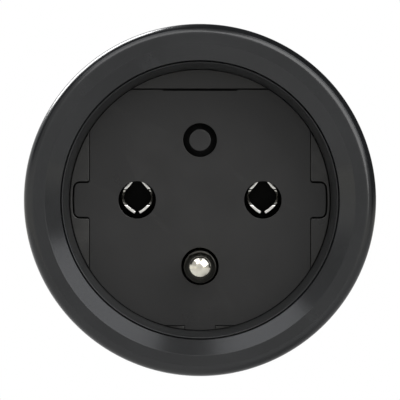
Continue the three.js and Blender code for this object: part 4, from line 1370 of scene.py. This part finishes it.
def notched_circle(radius, notch_radius, notch_circle, angles):
    """A round outline with a round bite taken out of it at each angle."""
    reach = (radius ** 2 + notch_circle ** 2 - notch_radius ** 2) / (2 * radius * notch_circle)
    spread = math.acos(reach)
    lean = math.atan2(-radius * math.sin(spread), radius * reach - notch_circle)
    points = []
    for angle, following in zip(angles, angles[1:] + (angles[0] + 360,)):
        turn, after = math.radians(angle), math.radians(following)
        centre = on_circle(notch_circle, turn)
        points += arc_points(notch_radius, turn + lean, turn - lean - FULL_TURN, 12, centre)
        points += arc_points(radius, turn + spread, after - spread, 24)[1:-1]
    return points


def main_board():
    holes = [circle(1.15, (side * PIN_OFFSET, 0), 24) for side in (-1, 1)]
    holes += [circle(0.8, (side * PIN_OFFSET, 3.7), 20) for side in (-1, 1)]
    holes.append(circle(1.9, EARTH, 32))
    outline = notched_circle(21.9, 3.3, HOUSING_SCREW_CIRCLE, CORNER_ANGLES)
    settle(slab("power_board", outline, holes, BOARD_FRONT, BOARD_BACK, 0.06, 0.06), LAMINATE, "main_board")


def button_board():
    """The button's own board, and the header that joins it to the power board."""
    outline = box_outline(-6, 6, 5.7, 13.8, 0.6)
    settle(slab("button_circuit", outline, [], 23.25, 24.05, 0.05, 0.05), LAMINATE, "button_board")
    strip = block("header_strip", (-4, 24.1, 12), (4, 26.6, 13.4), 0.12, 2)
    settle(strip, CARRIER_BLACK, "board_header")
    pin = block("pin", (-3.3, 26.3, 12.4), (-2.7, 31.85, 13), 0.1, 2)
    pins = ROW.grow("header_pins", pin, TIN, Count=4, Step=(2.0 * MM, 0, 0))
    settle(pins, TIN, slot="carrier_plastic")


def chip(name, node, x, z, half_width, half_height, legs):
    """A resin chip in front of the board with a row of bent legs above and below it."""
    front, back = BOARD_FRONT - 1.35, FRONT_SEAT
    low = (x - half_width, front, z - half_height + 0.5)
    high = (x + half_width, back - 0.1, z + half_height - 0.5)
    body = block(name, low, high, 0.12, 2)
    cut(body, drill(0.3, front - 1, front + 0.12, (low[0] + 0.7, z), 20))
    settle(body, CHIP_RESIN, node)
    step = 2 * half_width / legs
    first = low[0] + step / 2
    rows = []
    for side in (-1, 1):
        bend = [
            (back - setback, z + side * (half_height - inset))
            for setback, inset in ((0.65, 0.55), (0.62, 0.28), (0.1, 0.2), (0.08, 0.02))
        ]
        outline = strip_outline(smooth_line(bend, 4), 0.12)
        leg = built("leg", strip_into, [
            [(first + across, depth, height) for depth, height in outline]
            for across in (-step * 0.2, step * 0.2)
        ])
        rows.append(ROW.grow("leg_row", leg, TIN, Count=legs, Step=(step * MM, 0, 0)))
    settle(joined(f"{name}_legs", *rows), TIN)


def board_joints():
    """Solder behind the power board, where pins and wires come through."""
    behind = BOARD_BACK + 0.35
    points = [(side * PIN_OFFSET, behind + 0.1, 3.7) for side in (-1, 1)]
    points += [(x, behind, 17.4) for x in (-6.2, -3.8, 3.8, 6.2)]
    points += [(x, behind, 12.7) for x in (-3, -1, 1, 3)]
    points += [(-18.2, behind, z) for z in (-7, -5, 5, 7)] + [(18.2, behind, z) for z in (4, 8)]
    seed = loose_mesh("seed", [place(*point) for point in points])
    size = 0.6 * MM
    settle(JOINTS.grow("board_joints_back", seed, SOLDER, Joint_Radius=size, Joint_Height=size), SOLDER)


main_board()
button_board()
chip("power_chip", "regulator_chip", -3, 8.5, 2.5, 2, 4)
chip("meter_chip", "metering_chip", 0, -3.5, 3, 2, 8)
board_joints()


# ---------- relay

def relay_block(name, low, high, edge=0.12, segments=2):
    """A rounded block in the relay, measured from its foot and its middle."""
    return block(
        name, (low[0], BACK_SEAT + low[1], RELAY_HEIGHT + low[2]),
        (high[0], BACK_SEAT + high[1], RELAY_HEIGHT + high[2]), edge, segments,
    )


def relay_turned(name, x, corners):
    """A round part of the relay, of (radius, height over the foot, fillet) corners."""
    corners = [(radius, BACK_SEAT + height, fillet) for radius, height, fillet in corners]
    return turned(name, corners, 48, (x, RELAY_HEIGHT), 3)


def relay_housing():
    settle(relay_block("relay_foot", (-8.2, 0, -4), (8.2, 1.6, 4), 0.25), RELAY_PLASTIC, "relay_base")
    cover = relay_block("relay_case", (-9.1, 0.3, -4.9), (9.1, 14.3, 4.9), 0.6, 3)
    cut(cover, relay_block("cutter", (-8.4, -1, -4.2), (8.4, 13.6, 4.2), 0.3))
    settle(cover, RELAY_PLASTIC, "relay_cover")


def relay_magnet():
    """The bobbin with its wire, the pole through it, and the frame that leads back to the top."""
    bobbin = relay_turned("relay_spool", COIL_X, [
        (1.5, 2.5, 0), (3.9, 2.5, 0.1), (3.9, 3.1, 0.1), (2, 3.1, 0.1),
        (2, 9.6, 0.1), (3.9, 9.6, 0.1), (3.9, 10.3, 0.1), (1.5, 10.3, 0),
    ])
    settle(bobbin, NYLON, "relay_bobbin")
    inner = relay_turned("inner_turns", COIL_X, as_corners([
        (2.05, WINDING_START), (3.3, WINDING_START), (3.3, WINDING_END), (2.05, WINDING_END),
    ]))
    wire = 0.16
    start, end = BACK_SEAT + WINDING_START + wire, BACK_SEAT + WINDING_END - wire
    outer = coil(
        "outer_turns", COPPER, (COIL_X, RELAY_HEIGHT), start, end, 3.5 - wire, wire,
        (end - start) / (2 * wire), 32, 8,
    )
    settle(joined("relay_coil", inner, outer), COPPER, "relay_winding")
    core = relay_turned("relay_pole", COIL_X, [
        (0, 1.65, 0), (1.4, 1.65, 0.1), (1.4, 10.4, 0.1), (2.1, 10.4, 0.1),
        (2.1, 11, 0.12), (0, 11, 0),
    ])
    settle(core, IRON, "relay_core")
    upright = relay_block("upright", (-7.4, 1.65, -3.2), (-6.4, 11.2, 3.2))
    foot = relay_block("foot", (-6.6, 1.65, -3.2), (0.6, 2.45, 3.2))
    settle(joined("relay_yoke", upright, foot), IRON, "relay_frame")


def relay_contacts():
    """The rocking armature with the moving contact, and the fixed contact on its post."""
    lever = relay_block("relay_lever", (-7.6, 11.5, -3), (1.5, 12.3, 3))
    settle(lever, IRON, "relay_armature", body="armature")
    leaf = relay_block("leaf", (-5, 12.35, -1.4), (6.8, 12.55, 1.4), 0.05, 1)
    tip = relay_turned("tip", CONTACT_X, rod(1.1, 11.6, 12.4, 0.3, 0.1))
    settle(joined("relay_moving_leaf", leaf, tip), SILVER, "relay_moving_contact", body="armature")
    post = relay_block("post", (5.2, 1.65, -1.2), (6, 10, 1.2), 0.06, 1)
    shelf = relay_block("shelf", (4.5, 9.9, -1.2), (6.7, 10.2, 1.2), 0.06, 1)
    seat = relay_turned("seat", CONTACT_X, rod(1.1, 10.1, 10.8, 0.1, 0.3))
    settle(joined("relay_fixed_post", post, shelf, seat), SILVER, "relay_fixed_contact")


relay_housing()
relay_magnet()
relay_contacts()


# ---------- power and radio parts

def capacitor_can(name, radius, open_end, board_end, centre):
    """An electrolytic can: a sleeved body with a crimped neck near the board, and a bare vented top."""
    way = 1.0 if board_end > open_end else -1.0
    neck = board_end - way * 1.2
    rim = radius * 0.8
    sleeve = turned(name, [
        (0, open_end + way * 0.12, 0), (rim, open_end + way * 0.12, 0), (rim, open_end, 0.05),
        (radius, open_end, 0.3), (radius, neck - way * 0.5, 0.15), (radius - 0.25, neck, 0.15),
        (radius, neck + way * 0.5, 0.15), (radius, board_end, 0.3), (0, board_end, 0),
    ], 64, centre, 4)
    corners = rod(radius * 0.78, open_end + way * 0.05, open_end + way * 0.3, 0.05)
    top = turned(f"{name}_top", corners, 48, centre, 3)
    low, high = sorted((open_end - way, open_end + way * 0.12))
    arm, half = radius * 0.55, 0.09
    x, z = centre
    cut(
        top,
        block("cutter", (x - arm, low, z - half), (x + arm, high, z + half), 0),
        block("cutter", (x - half, low, z - arm), (x + half, high, z + arm), 0),
    )
    return sleeve, top


def capacitors():
    pair = dict(Count=2, Step=(10.0 * MM, 0, 0))
    sleeve, top = capacitor_can("bulk_capacitor", 3.1, 22, FRONT_SEAT, (-5, 18))
    cans = ROW.grow("bulk_capacitors", sleeve, SLEEVE, **pair)
    settle(cans, SLEEVE, "bulk_capacitor_1", "bulk_capacitor_2")
    settle(ROW.grow("bulk_capacitor_tops", top, ZINC, **pair), ZINC)
    sleeve, top = capacitor_can("reservoir_can", 3.15, 45, BACK_SEAT, (7.8, -10.2))
    settle(sleeve, SLEEVE, "reservoir_capacitor")
    settle(top, ZINC)
    film = block("film_box", (-5.2, BACK_SEAT, -5.2), (5.2, 44, 1.4), 0.5)
    settle(film, FILM_YELLOW, "film_capacitor")


def wound_drum(name, node, radius, start, end, centre):
    """A ferrite bobbin with copper wire wound in its waist."""
    rim, waist, wire = 1, radius - 0.7, 0.17
    drum = turned(name, [
        (0, start, 0), (radius, start, 0.15), (radius, start + rim, 0.1), (waist, start + rim, 0.1),
        (waist, end - rim, 0.1), (radius, end - rim, 0.1), (radius, end, 0.15), (0, end, 0),
    ], 56, centre, 3)
    settle(drum, FERRITE, node)
    first, last = start + rim + wire, end - rim - wire
    winding = coil(
        f"{name}_winding", COPPER, centre, first, last, waist + wire * 1.1, wire,
        (last - first) / (2 * wire), 28, 8,
    )
    settle(winding, COPPER)


def fuse():
    """A ceramic tube with a metal cap on each end."""
    centre = (-18.2, -6)
    settle(turned("fuse_tube", rod(1.62, 23.9, FRONT_SEAT - 0.5, 0.05, 0.05), 48, centre, 3), CERAMIC, "fuse")
    bm = bmesh.new()
    for low, high in ((23.4, 25.2), (FRONT_SEAT - 1.8, FRONT_SEAT)):
        turn_into(bm, rounded(rod(1.8, low, high, 0.25, 0.1), 3, True), 48, centre)
    settle(new_piece("fuse_caps", bm), NICKEL)


def varistor():
    """A dipped disc that stands on edge, with two leads into the board."""
    bm = bmesh.new()
    disc = rod(3.5, NOSE_FACE_DEPTH - 1.4, NOSE_FACE_DEPTH + 1.4, 0.9, 0.9)
    turn_into(bm, rounded(disc, 4, True), 56)
    on_edge = Matrix.Translation(place(18.2, 27.6, 6)) @ Matrix.Rotation(QUARTER_TURN, 4, "Z")
    bmesh.ops.transform(bm, matrix=on_edge, verts=bm.verts)
    settle(new_piece("surge_disc", bm), VARISTOR_BLUE, "varistor")
    bm = bmesh.new()
    for z in (4, 8):
        block_into(bm, (17.95, 29, z - 0.25), (18.45, FRONT_SEAT, z + 0.25), 0.1, 2)
    settle(new_piece("surge_disc_leads", bm), TIN)


def small_parts():
    shunt = block("meter_shunt", (11.3, FRONT_SEAT - 0.8, -9.6), (17.7, FRONT_SEAT, -6.4), 0.1, 2)
    settle(shunt, TIN, "current_shunt")
    radio = block("radio_circuit", (-7.5, 22.4, -19.4), (7.5, FRONT_SEAT, -18.6), 0.05, 1)
    settle(radio, LAMINATE, "radio_board")
    settle(block("radio_can", (-5, 24.6, -18.55), (5, 30.6, -16.9), 0.25), TIN, "radio_shield")
    led_low, led_high = (3.8, 22.4, BUTTON_HEIGHT - 0.8), (4.6, 23.2, BUTTON_HEIGHT + 0.8)
    settle(block("light_indicator", led_low, led_high, 0.1, 2), LED_RESIN, "status_led")


capacitors()
wound_drum("supply_inductor", "drum_inductor", 3.15, BACK_SEAT, 42, (-7.8, -10.2))
wound_drum("line_choke", "filter_choke", 2.7, 23, FRONT_SEAT, (-18.2, 6))
fuse()
varistor()
small_parts()
